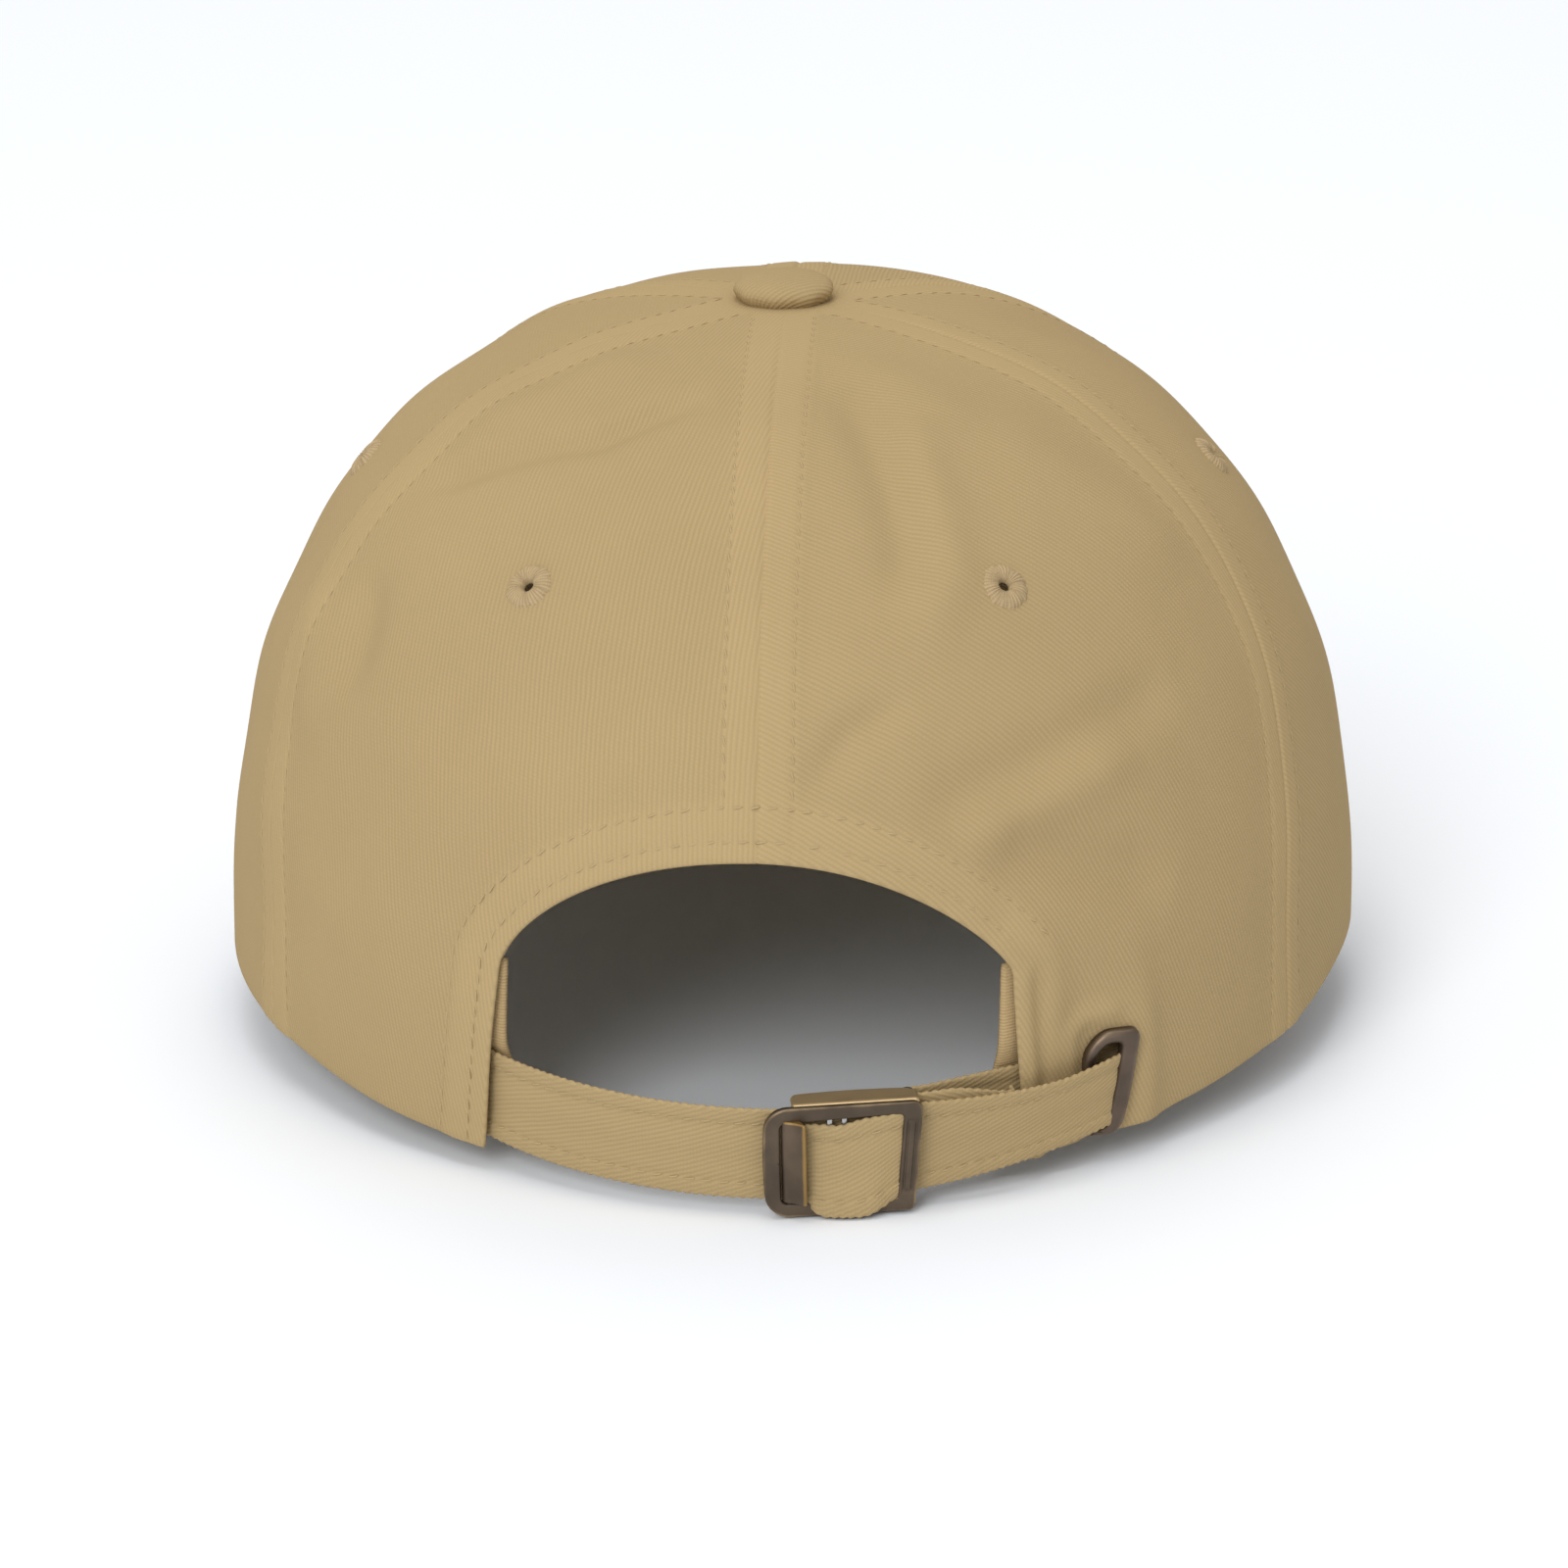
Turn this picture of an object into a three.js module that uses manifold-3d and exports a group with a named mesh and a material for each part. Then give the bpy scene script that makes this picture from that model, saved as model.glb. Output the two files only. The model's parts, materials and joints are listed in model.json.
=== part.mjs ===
// A six-panel baseball cap with a curved visor, a rear strap and a clamp buckle, in millimetres.
// It is drawn with its head opening level: +Z up, the visor toward -Y, the strap toward +Y and
// the wearer's right toward -X. An azimuth is an angle around the crown, in radians, that is 0
// at the middle of the back and grows toward the wearer's right. The finished cap is tipped and
// lowered at the end, so that it stands on the sides of its visor and on its buckle.
import * as THREE from "three";
import { mergeVertices } from "three/addons/utils/BufferGeometryUtils.js";
import Module from "manifold-3d";

const wasm = await Module();
wasm.setup();

const GAP = 0.3;
const QUARTER = Math.PI / 2;
const degrees = THREE.MathUtils.degToRad;
const smooth = THREE.MathUtils.smoothstep;
const mix = THREE.MathUtils.lerp;

const CROWN = {
  halfWidth: 90,
  rearLength: 98.5,
  frontLength: 92,
  height: 104.5,
  apexForward: 11,
  shoulder: 0.8,
  rise: 0.84,
  sideRise: 6,
  frontRise: 16,
  cloth: 0.8,
  topHole: 0.992,
};
const SEAMS = {
  rimRearSide: degrees(60),
  topRearSide: degrees(68.5),
  rimFrontSide: degrees(120),
  topFrontSide: degrees(123),
  spreadUntil: 0.45,
};
const TAPE = { width: 12, depth: 1.3, thickness: 0.5, low: 0.02, rearLow: 0.36, high: 0.92 };
const EYELET = { radius: 3.5, hole: 0.9, thickness: 0.7, level: 0.513 };
const EYELET_AZIMUTHS = { rear: degrees(31.6), side: degrees(88), front: degrees(151) };
const ARCH = {
  centreX: 1,
  halfWidth: 38,
  baseFlare: 2,
  springing: 30,
  rise: 18.8,
  roundness: 1.8,
  facingWidth: 8,
  facingFoot: 26,
};
const SWEATBAND = {
  rightEnd: degrees(23.5),
  leftEnd: degrees(-24.5),
  depth: 2.5,
  thickness: 1.2,
  low: 0.004,
  high: 0.145,
};
// The sweatband bows inward where the hidden ends of the long strap lie behind it.
const BOWS = [
  { azimuth: degrees(-39.5), depth: 5.2, width: degrees(9.5) },
  { azimuth: degrees(46), depth: 3.6, width: degrees(9) },
];
const BUTTON = { radius: 7.9, rise: 3.4, cloth: 0.7, metal: 0.6, shank: 1.2, washer: 6, washerDepth: 2.2 };
const VISOR = {
  halfWidth: 88,
  frontLength: 77,
  rearLength: 68,
  middleY: -85,
  slope: Math.tan(degrees(12)),
  bendRadius: 142,
  endAzimuth: degrees(123),
  endTurn: degrees(121),
  cover: 0.6,
  board: 1.8,
  lip: 1.2,
  underside: -1.6,
  coverStart: 0.012,
  boardStart: 0.04,
};
const STRAP = {
  axis: new THREE.Vector2(-3.5, 36.3),
  radius: 66,
  thickness: 0.8,
  leftEnd: degrees(-48),
  rightEnd: degrees(57),
  middle: 7.6,
  droop: 6.6,
  halfWidth: 7.2,
  tailHalfWidth: 6.3,
  taperFrom: degrees(12),
  taperTo: degrees(39),
};
const SLOT = {
  azimuth: degrees(34.9),
  height: 9.8,
  facing: degrees(37.3),
  twist: degrees(19.3),
  arcPerRadian: 93.6,
  pucker: 0.35,
  puckerReach: 7.4,
  puckerHeight: 14,
  halfHeight: 7.3,
  left: 3.1,
  right: 5.1,
};
const GROMMET = { left: 4.8, right: 4.9, halfHeight: 8.0, endBar: 1.0, leftBar: 2.0, rightBar: 2.5, thickness: 0.5 };
const BUCKLE = {
  bearing: degrees(7.5),
  height: 7.5,
  plateBack: 1.0,
  plate: 1.0,
  left: 11.6,
  right: 11.5,
  halfHeight: 8.9,
  windowLeft: 9.6,
  windowRight: 8.8,
  windowHalfHeight: 6.75,
  flangeLeft: 6.7,
  flangeHalfHeight: 9.3,
  flange: 0.9,
  flangeDepth: 5.6,
  leverPin: new THREE.Vector2(7.9, 1.4),
  leverPinRadius: 0.4,
  loopPinX: -9.9,
  loopPinRadius: 0.8,
  loopPinDepth: 2.5,
};

const COLOURS = { twill: 0xbda27a, tape: 0xb79c74, board: 0xe8e6e0, brass: 0x5e5044, steel: 0xb9bab8 };

function cloth(colour = COLOURS.twill) {
  return new THREE.MeshStandardMaterial({ color: colour, roughness: 0.95, metalness: 0 });
}

function metal(colour = COLOURS.brass) {
  return new THREE.MeshStandardMaterial({ color: colour, roughness: 0.4, metalness: 1 });
}

const cap = new THREE.Group();

function add(name, geometry, material, parent = cap) {
  const mesh = new THREE.Mesh(geometry, material);
  mesh.name = name;
  parent.add(mesh);
  return mesh;
}

// ---- solids -------------------------------------------------------------------------------

function volume(positions, faces) {
  const corner = (k) => new THREE.Vector3().fromArray(positions, 3 * k);
  let total = 0;
  for (let f = 0; f < faces.length; f += 3) {
    total += corner(faces[f]).dot(corner(faces[f + 1]).cross(corner(faces[f + 2])));
  }
  return total;
}

function solid(points, faces) {
  const positions = points.flatMap((point) => point.toArray());
  const outward = volume(positions, faces) > 0 ? faces : faces.slice().reverse();
  const geometry = new THREE.BufferGeometry();
  geometry.setAttribute("position", new THREE.Float32BufferAttribute(positions, 3));
  geometry.setIndex(outward);
  return geometry;
}

// A closed loft through equal loops of points. Each loop runs out along one row of points and
// back along another, and the ends are closed by a ladder of faces between the two rows.
function loft(loops) {
  const size = loops[0].length;
  const last = (loops.length - 1) * size;
  const faces = [];
  for (let ring = 0; ring < last; ring += size) {
    for (let k = 0; k < size; k++) {
      const a = ring + k;
      const b = ring + ((k + 1) % size);
      faces.push(a, b, b + size, a, b + size, a + size);
    }
  }
  for (let a = 0; a + 1 < size / 2; a++) {
    const b = a + 1;
    const c = size - 1 - b;
    const d = size - 1 - a;
    faces.push(d, c, b, d, b, a);
    faces.push(last + a, last + b, last + c, last + a, last + c, last + d);
  }
  return solid(loops.flat(), faces);
}

// A sheet of even or varying thickness: place(along, up, side) gives a point of its outer face
// for side 0 and of its inner face for side 1, with along and up running from 0 to 1.
function sheet(columns, rows, place) {
  const loops = [];
  for (let i = 0; i <= columns; i++) {
    const outer = [];
    const inner = [];
    for (let j = 0; j <= rows; j++) {
      outer.push(place(i / columns, j / rows, 0));
      inner.unshift(place(i / columns, j / rows, 1));
    }
    loops.push([...outer, ...inner]);
  }
  return loft(loops);
}

function toManifold(geometry) {
  const bare = geometry.clone();
  bare.deleteAttribute("normal");
  bare.deleteAttribute("uv");
  const merged = mergeVertices(bare);
  return new wasm.Manifold(new wasm.Mesh({
    numProp: 3,
    vertProperties: new Float32Array(merged.attributes.position.array),
    triVerts: new Uint32Array(merged.index.array),
  }));
}

function fromManifold(shape) {
  const mesh = shape.getMesh();
  const geometry = new THREE.BufferGeometry();
  geometry.setAttribute("position", new THREE.Float32BufferAttribute(mesh.vertProperties, 3));
  geometry.setIndex(Array.from(mesh.triVerts));
  return geometry;
}

function combine(base, added = [], removed = [], kept = []) {
  let shape = toManifold(base);
  for (const geometry of added) shape = shape.add(toManifold(geometry));
  for (const geometry of kept) shape = shape.intersect(toManifold(geometry));
  for (const geometry of removed) shape = shape.subtract(toManifold(geometry));
  return fromManifold(shape);
}

// An outline in X and Z, extruded along Y from one depth to another.
function upright(outline, fromY, toY, holes = []) {
  const shape = new THREE.Shape(outline);
  shape.holes = holes.map((hole) => new THREE.Path(hole));
  const geometry = new THREE.ExtrudeGeometry(shape, { depth: toY - fromY, bevelEnabled: false });
  return geometry.rotateX(QUARTER).translate(0, toY, 0);
}

function block(x0, x1, y0, y1, z0, z1) {
  const box = new THREE.BoxGeometry(x1 - x0, y1 - y0, z1 - z0);
  return box.translate((x0 + x1) / 2, (y0 + y1) / 2, (z0 + z1) / 2);
}

function pin(radius, halfLength, x, y, sides = 16) {
  const cylinder = new THREE.CylinderGeometry(radius, radius, 2 * halfLength, sides);
  return cylinder.rotateX(QUARTER).translate(x, y, 0);
}

function roundedBox(left, right, bottom, top, radius, steps = 4) {
  const corners = [[right, bottom, -1, 1], [right, top, -1, -1], [left, top, 1, -1], [left, bottom, 1, 1]];
  return corners.flatMap(([x, y, sx, sy], index) => {
    const points = [];
    for (let k = 0; k <= steps; k++) {
      const angle = (index - 1 + k / steps) * QUARTER;
      const cx = x + sx * radius;
      const cy = y + sy * radius;
      points.push(new THREE.Vector2(cx + radius * Math.cos(angle), cy + radius * Math.sin(angle)));
    }
    return points;
  });
}

// ---- crown --------------------------------------------------------------------------------

function rimRise(azimuth) {
  const across = Math.sin(azimuth) ** 2;
  const forward = Math.max(0, -Math.cos(azimuth)) ** 4;
  return CROWN.sideRise * across + CROWN.frontRise * forward;
}

// A point of the crown's outer face: level is 0 at the rim and 1 at the top.
function crownFace(azimuth, level) {
  const reach = Math.cos(level * QUARTER) ** CROWN.shoulder;
  const length = Math.cos(azimuth) > 0 ? CROWN.rearLength : CROWN.frontLength;
  return new THREE.Vector3(
    -CROWN.halfWidth * Math.sin(azimuth) * reach,
    length * Math.cos(azimuth) * reach - CROWN.apexForward * (1 - reach),
    CROWN.height * Math.sin(level * QUARTER) ** CROWN.rise + rimRise(azimuth) * (1 - level) ** 2,
  );
}

function crownNormal(azimuth, level) {
  const step = 1e-3;
  const low = Math.max(0, level - step);
  const high = Math.min(1 - step, level + step);
  const around = crownFace(azimuth + step, level).sub(crownFace(azimuth - step, level));
  const up = crownFace(azimuth, high).sub(crownFace(azimuth, low));
  return around.cross(up).normalize();
}

function crownPoint(azimuth, level, depth) {
  return crownFace(azimuth, level).addScaledVector(crownNormal(azimuth, level), -depth);
}

// The rear right panel is twisted around the strap's slot, inward on one side of it and outward
// on the other.
function slotPucker(azimuth, height) {
  const along = SLOT.arcPerRadian * (azimuth - SLOT.azimuth);
  const fade = 1 / (1 + (along / SLOT.puckerReach) ** 6);
  const rise = 1 / (1 + ((height - SLOT.height) / SLOT.puckerHeight) ** 4);
  return SLOT.pucker * along * fade * rise;
}

function seam(rim, top) {
  return (level) => mix(rim, top, smooth(level, 0, SEAMS.spreadUntil));
}

const rearSideSeam = seam(SEAMS.rimRearSide, SEAMS.topRearSide);
const frontSideSeam = seam(SEAMS.rimFrontSide, SEAMS.topFrontSide);
const SEAM_LINES = {
  rear: () => 0,
  rear_right: rearSideSeam,
  front_right: frontSideSeam,
  front: () => Math.PI,
  front_left: (level) => 2 * Math.PI - frontSideSeam(level),
  rear_left: (level) => 2 * Math.PI - rearSideSeam(level),
};

function halfAngle(width, level) {
  return width / 2 / (CROWN.halfWidth * Math.cos(level * QUARTER) ** CROWN.shoulder);
}

// The shares of a panel's width where its columns of points stand: even, but close together
// over the twisted cloth at the strap's slot.
function panelColumns(twisted) {
  const dense = twisted ? { start: 0.44, end: 0.72, count: 14 } : { start: 0.4, end: 0.6, count: 2 };
  const columns = [];
  for (let k = 0; k < 4; k++) columns.push(dense.start * k / 4);
  for (let k = 0; k < dense.count; k++) columns.push(mix(dense.start, dense.end, k / dense.count));
  for (let k = 0; k <= 4; k++) columns.push(mix(dense.end, 1, k / 4));
  return columns;
}

function crownPanel(from, to, twisted, rows = 16) {
  const columns = panelColumns(twisted);
  const last = columns.length - 1;
  return sheet(last, rows, (along, up, side) => {
    const level = up * CROWN.topHole;
    const margin = halfAngle(GAP, level);
    const share = columns[Math.round(along * last)];
    const azimuth = mix(from(level) + margin, to(level) - margin, share);
    const height = crownFace(azimuth, level).z;
    return crownPoint(azimuth, level, side * CROWN.cloth - slotPucker(azimuth, height));
  });
}

function archOutline(grow, foot) {
  const half = ARCH.halfWidth + grow;
  const rise = ARCH.rise + grow;
  const flare = ARCH.baseFlare * (ARCH.springing - foot) / ARCH.springing;
  const points = [new THREE.Vector2(ARCH.centreX + half + flare, foot)];
  const steps = 20;
  for (let k = 0; k <= steps; k++) {
    const angle = Math.PI * k / steps;
    const c = Math.cos(angle);
    const s = Math.sin(angle);
    const x = Math.sign(c) * Math.abs(c) ** (2 / ARCH.roundness);
    points.push(new THREE.Vector2(ARCH.centreX + half * x, ARCH.springing + rise * s ** (2 / ARCH.roundness)));
  }
  points.push(new THREE.Vector2(ARCH.centreX - half - flare, foot));
  return points;
}

// Places a geometry drawn around its own Z axis on the crown, with Z along the outward normal.
function onCrown(geometry, azimuth, level) {
  const normal = crownNormal(azimuth, level);
  const turn = new THREE.Quaternion().setFromUnitVectors(new THREE.Vector3(0, 0, 1), normal);
  const spot = crownFace(azimuth, level);
  return geometry.applyQuaternion(turn).translate(spot.x, spot.y, spot.z);
}

function ringAroundZ(inner, outer, low, high, sides) {
  const corners = [[inner, low], [outer, low], [outer - 0.5, high], [inner + 0.3, high], [inner, low]];
  const profile = corners.map(([r, z]) => new THREE.Vector2(r, z));
  return new THREE.LatheGeometry(profile, sides).rotateX(QUARTER);
}

function eyeletHole(azimuth) {
  const drill = new THREE.CylinderGeometry(EYELET.hole, EYELET.hole, 6, 12).rotateX(QUARTER);
  return onCrown(drill, azimuth, EYELET.level);
}

function slotHole() {
  const width = roundedBox(-SLOT.right, SLOT.left, -SLOT.halfHeight, SLOT.halfHeight, 1);
  const centre = crownFace(SLOT.azimuth, 0);
  const hole = upright(width, -8, 8).rotateZ(SLOT.facing);
  return hole.translate(centre.x, centre.y, SLOT.height);
}

function addCrown() {
  const arch = upright(archOutline(0, -15), 60, 115);
  const names = ["rear_right", "side_right", "front_right", "front_left", "side_left", "rear_left"];
  const seams = Object.values(SEAM_LINES);
  const full = () => 2 * Math.PI;
  names.forEach((name, index) => {
    const panel = crownPanel(seams[index], seams[index + 1] ?? full, name === "rear_right");
    const middle = EYELET_AZIMUTHS[name.split("_")[0]];
    const azimuth = name.endsWith("right") ? middle : 2 * Math.PI - middle;
    const cuts = [eyeletHole(azimuth)];
    if (name.startsWith("rear")) cuts.push(arch);
    if (name === "rear_right") cuts.push(slotHole());
    add(`panel_${name}`, combine(panel, [], cuts), cloth());
    const ring = ringAroundZ(EYELET.hole, EYELET.radius, GAP, GAP + EYELET.thickness, 16);
    add(`eyelet_${name}`, onCrown(ring, azimuth, EYELET.level), cloth());
  });
}

function addSeamTapes() {
  for (const [name, line] of Object.entries(SEAM_LINES)) {
    const low = name === "rear" ? TAPE.rearLow : TAPE.low;
    const tape = sheet(2, 14, (along, up, side) => {
      const level = mix(low, TAPE.high, up);
      const azimuth = line(level) + (2 * along - 1) * halfAngle(TAPE.width, level);
      return crownPoint(azimuth, level, TAPE.depth + side * TAPE.thickness);
    });
    add(`seam_tape_${name}`, tape, cloth(COLOURS.tape));
  }
}

function addArchFacing() {
  const reach = degrees(38);
  const lining = sheet(28, 12, (along, up, side) => {
    const azimuth = mix(-reach, reach, along);
    const level = up * 0.4;
    const depth = TAPE.depth + side * TAPE.thickness;
    return crownPoint(azimuth, level, depth - slotPucker(azimuth, crownFace(azimuth, level).z));
  });
  const outer = upright(archOutline(ARCH.facingWidth, ARCH.facingFoot), 40, 115);
  const inner = upright(archOutline(0.2, 0), 40, 115);
  add("arch_facing", combine(lining, [], [inner], [outer]), cloth(COLOURS.tape));
}

function sweatbandDepth(azimuth) {
  const bows = BOWS.map(({ azimuth: middle, depth, width }) => {
    const turn = Math.atan2(Math.sin(azimuth - middle), Math.cos(azimuth - middle));
    return depth * Math.exp(-((turn / width) ** 2));
  });
  return SWEATBAND.depth + bows[0] + bows[1];
}

function addSweatband() {
  const band = sheet(68, 4, (along, up, side) => {
    const azimuth = mix(SWEATBAND.rightEnd, SWEATBAND.leftEnd + 2 * Math.PI, along);
    const level = mix(SWEATBAND.low, SWEATBAND.high, up);
    return crownPoint(azimuth, level, sweatbandDepth(azimuth) + side * SWEATBAND.thickness);
  });
  add("sweatband", band, cloth());
}

// ---- button -------------------------------------------------------------------------------

function domeProfile(outer, rise, thickness) {
  const steps = 5;
  const points = [];
  for (let k = 0; k <= steps; k++) {
    const angle = QUARTER * k / steps;
    points.push(new THREE.Vector2(outer * Math.cos(angle), rise * Math.sin(angle)));
  }
  for (let k = steps; k >= 0; k--) {
    const angle = QUARTER * k / steps;
    const radius = (outer - thickness) * Math.cos(angle);
    points.push(new THREE.Vector2(radius, (rise - thickness) * Math.sin(angle)));
  }
  return [...points, points[0]];
}

function addButton() {
  const button = new THREE.Group();
  button.position.set(0, -CROWN.apexForward, CROWN.height + GAP);
  cap.add(button);
  const turned = (profile) => new THREE.LatheGeometry(profile, 24).rotateX(QUARTER);
  const inner = BUTTON.radius - BUTTON.cloth - GAP;
  const innerRise = BUTTON.rise - BUTTON.cloth - GAP;
  add("button_cover", turned(domeProfile(BUTTON.radius, BUTTON.rise, BUTTON.cloth)), cloth(), button);
  add("button_shell", turned(domeProfile(inner, innerRise, BUTTON.metal)), metal(COLOURS.steel), button);
  const top = innerRise - BUTTON.metal - GAP;
  const under = -BUTTON.washerDepth;
  const corners = [[0, under - 0.8], [BUTTON.washer, under - 0.8], [BUTTON.washer, under]];
  corners.push([BUTTON.shank, under], [BUTTON.shank, top], [0, top]);
  const rivet = turned(corners.map(([r, z]) => new THREE.Vector2(r, z)));
  add("button_rivet", rivet, metal(COLOURS.steel), button);
}

// ---- visor --------------------------------------------------------------------------------

function visorHeight(x, y) {
  return CROWN.frontRise + (y + CROWN.frontLength) * VISOR.slope - x ** 2 / (2 * VISOR.bendRadius);
}

// A point of the visor: along runs from its right end to its left end, inset from 0 at its
// outer edge to 1 at the crown.
function visorPoint(along, inset, height) {
  const azimuth = mix(VISOR.endAzimuth, 2 * Math.PI - VISOR.endAzimuth, along);
  const root = crownPoint(azimuth, 0, -GAP - 0.1);
  const turn = mix(-VISOR.endTurn, VISOR.endTurn, along);
  const reach = Math.cos(turn) > 0 ? VISOR.frontLength : VISOR.rearLength;
  const edgeX = VISOR.halfWidth * Math.sin(turn);
  const edgeY = VISOR.middleY - reach * Math.cos(turn);
  const x = mix(edgeX, root.x, inset);
  const y = mix(edgeY, root.y, inset);
  return new THREE.Vector3(x, y, visorHeight(x, y) + height);
}

function visorLayer(profile, start, columns = 34) {
  const loops = [];
  for (let i = 0; i <= columns; i++) {
    const along = mix(start, 1 - start, i / columns);
    const root = visorPoint(along, 1, 0);
    const span = visorPoint(along, 0, 0).distanceTo(root);
    loops.push(profile.map(([inset, millimetres, height]) => {
      return visorPoint(along, Math.min(0.97, inset + millimetres / span), height);
    }));
  }
  return loft(loops);
}

// A cover lies flat over the board and turns over its edge in a lip.
function coverProfile(outside, inside, lipEnd) {
  const insets = [0.25, 0.5, 0.75, 1];
  return [
    [0, 0, lipEnd],
    [0, 0, outside],
    ...insets.map((inset) => [inset, 0, outside]),
    ...insets.slice().reverse().map((inset) => [inset, 0, inside]),
    [0, VISOR.lip, inside],
    [0, VISOR.lip, lipEnd],
  ];
}

function addVisor() {
  const bottom = VISOR.underside;
  const boardLow = bottom + VISOR.cover + GAP;
  const boardHigh = boardLow + VISOR.board;
  const top = boardHigh + GAP + VISOR.cover;
  const middle = (bottom + top) / 2;
  const edge = VISOR.lip + GAP;
  const insets = [0.25, 0.5, 0.75, 1];
  const board = [
    [0, edge, boardHigh],
    ...insets.map((inset) => [inset, 0, boardHigh]),
    ...insets.slice().reverse().map((inset) => [inset, 0, boardLow]),
    [0, edge, boardLow],
  ];
  const upper = coverProfile(top, top - VISOR.cover, middle + GAP / 2);
  const lower = coverProfile(bottom, bottom + VISOR.cover, middle - GAP / 2);
  add("visor_cover_top", visorLayer(upper, VISOR.coverStart), cloth());
  add("visor_cover_bottom", visorLayer(lower, VISOR.coverStart), cloth());
  add("visor_board", visorLayer(board, VISOR.boardStart), cloth(COLOURS.board));
}

// ---- strap --------------------------------------------------------------------------------

function strapPlan(bearing, radius) {
  const x = STRAP.axis.x - radius * Math.sin(bearing);
  return new THREE.Vector2(x, STRAP.axis.y + radius * Math.cos(bearing));
}

function strapMiddle(bearing) {
  return STRAP.middle + STRAP.droop * (1 - Math.cos(bearing));
}

function addLongStrap() {
  const strap = sheet(44, 1, (along, up, side) => {
    const bearing = mix(STRAP.leftEnd, STRAP.rightEnd, along);
    const taper = smooth(bearing, STRAP.taperFrom, STRAP.taperTo);
    const half = mix(STRAP.halfWidth, STRAP.tailHalfWidth, taper);
    const spot = strapPlan(bearing, STRAP.radius + (0.5 - side) * STRAP.thickness);
    return new THREE.Vector3(spot.x, spot.y, strapMiddle(bearing) + (2 * up - 1) * half);
  });
  add("strap_long", strap, cloth());
}

// The short strap loops around the buckle's bar and runs inside the opening's right edge.
function addShortStrap() {
  const thickness = 0.7;
  const bearing = BUCKLE.bearing + Math.asin(-BUCKLE.loopPinX / STRAP.radius);
  const pinRadius = STRAP.radius - BUCKLE.loopPinDepth;
  const bend = BUCKLE.loopPinRadius + GAP + thickness / 2;
  const centre = strapPlan(bearing, pinRadius);
  const outward = new THREE.Vector2(-Math.sin(bearing), Math.cos(bearing));
  const toRight = new THREE.Vector2(-Math.cos(bearing), -Math.sin(bearing));
  const path = [0.17, 0.09].map((turn) => strapPlan(bearing + turn, pinRadius + bend));
  const steps = 8;
  for (let k = 0; k <= steps; k++) {
    const angle = Math.PI * k / steps;
    const spot = centre.clone().addScaledVector(outward, bend * Math.cos(angle));
    path.push(spot.addScaledVector(toRight, -bend * Math.sin(angle)));
  }
  const inside = [[23.4, 1.75], [25.5, 1.75], [27.5, 1.9]];
  path.push(strapPlan(bearing + 0.06, pinRadius - bend - 0.15));
  for (const [azimuth, depth] of inside) {
    const spot = crownPoint(degrees(azimuth), 0.03, depth);
    path.push(new THREE.Vector2(spot.x, spot.y));
  }
  const last = path.length - 1;
  const band = sheet(last, 1, (along, up, side) => {
    const k = Math.round(along * last);
    const ahead = path[Math.min(k + 1, last)].clone().sub(path[Math.max(k - 1, 0)]).normalize();
    const edge = new THREE.Vector2(ahead.y, -ahead.x).multiplyScalar((0.5 - side) * thickness);
    const height = STRAP.middle + 1.4 + (2 * up - 1) * 6.4;
    return new THREE.Vector3(path[k].x + edge.x, path[k].y + edge.y, height);
  });
  add("strap_short", band, cloth());
}

// ---- grommet and buckle -------------------------------------------------------------------

function addGrommet() {
  const holder = new THREE.Group();
  const normal = crownNormal(SLOT.azimuth, 0);
  const spot = crownFace(SLOT.azimuth, 0);
  holder.position.set(spot.x, spot.y, SLOT.height);
  holder.rotation.z = Math.atan2(-normal.x, normal.y) - SLOT.twist;
  cap.add(holder);
  const outer = roundedBox(-GROMMET.right, GROMMET.left, -GROMMET.halfHeight, GROMMET.halfHeight, 3.6);
  const innerRight = -GROMMET.right + GROMMET.rightBar;
  const innerLeft = GROMMET.left - GROMMET.leftBar;
  const innerHeight = GROMMET.halfHeight - GROMMET.endBar;
  const inner = roundedBox(innerRight, innerLeft, -innerHeight, innerHeight, 1.2);
  add("strap_grommet", upright(outer, GAP, GAP + GROMMET.thickness, [inner]), metal(), holder);
}

function frameOutline() {
  const { left, right, halfHeight } = BUCKLE;
  const shape = new THREE.Shape();
  shape.moveTo(-right + 1.3, -halfHeight);
  shape.lineTo(left - 4.6, -halfHeight);
  shape.quadraticCurveTo(left - 1.2, -halfHeight, left - 0.5, -halfHeight / 2);
  shape.quadraticCurveTo(left + 0.5, 0, left - 0.5, halfHeight / 2);
  shape.quadraticCurveTo(left - 1.2, halfHeight, left - 4.6, halfHeight);
  shape.lineTo(-right + 1.3, halfHeight);
  shape.quadraticCurveTo(-right, halfHeight, -right, halfHeight - 1.3);
  shape.lineTo(-right, -halfHeight + 1.3);
  shape.quadraticCurveTo(-right, -halfHeight, -right + 1.3, -halfHeight);
  return shape.getPoints(5).slice(0, -1);
}

function leverOutline() {
  const { x, y } = BUCKLE.leverPin;
  const rounding = [];
  for (let k = 0; k <= 8; k++) {
    const angle = degrees(-115 + 20 * k);
    rounding.push(new THREE.Vector2(x + 1.1 * Math.cos(angle), y + 1.1 * Math.sin(angle)));
  }
  const finger = [[x + 0.6, y + 1.2], [x - 2.6, y + 2.9], [x - 3.0, y + 2.2], [x - 1.2, y + 0.9]];
  const tooth = [[x - 1.3, y - 0.2], [x - 1.15, y - 1.0], [x - 0.7, y - 1.05]];
  return [...rounding, ...[...finger, ...tooth].map(([px, py]) => new THREE.Vector2(px, py))];
}

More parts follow.
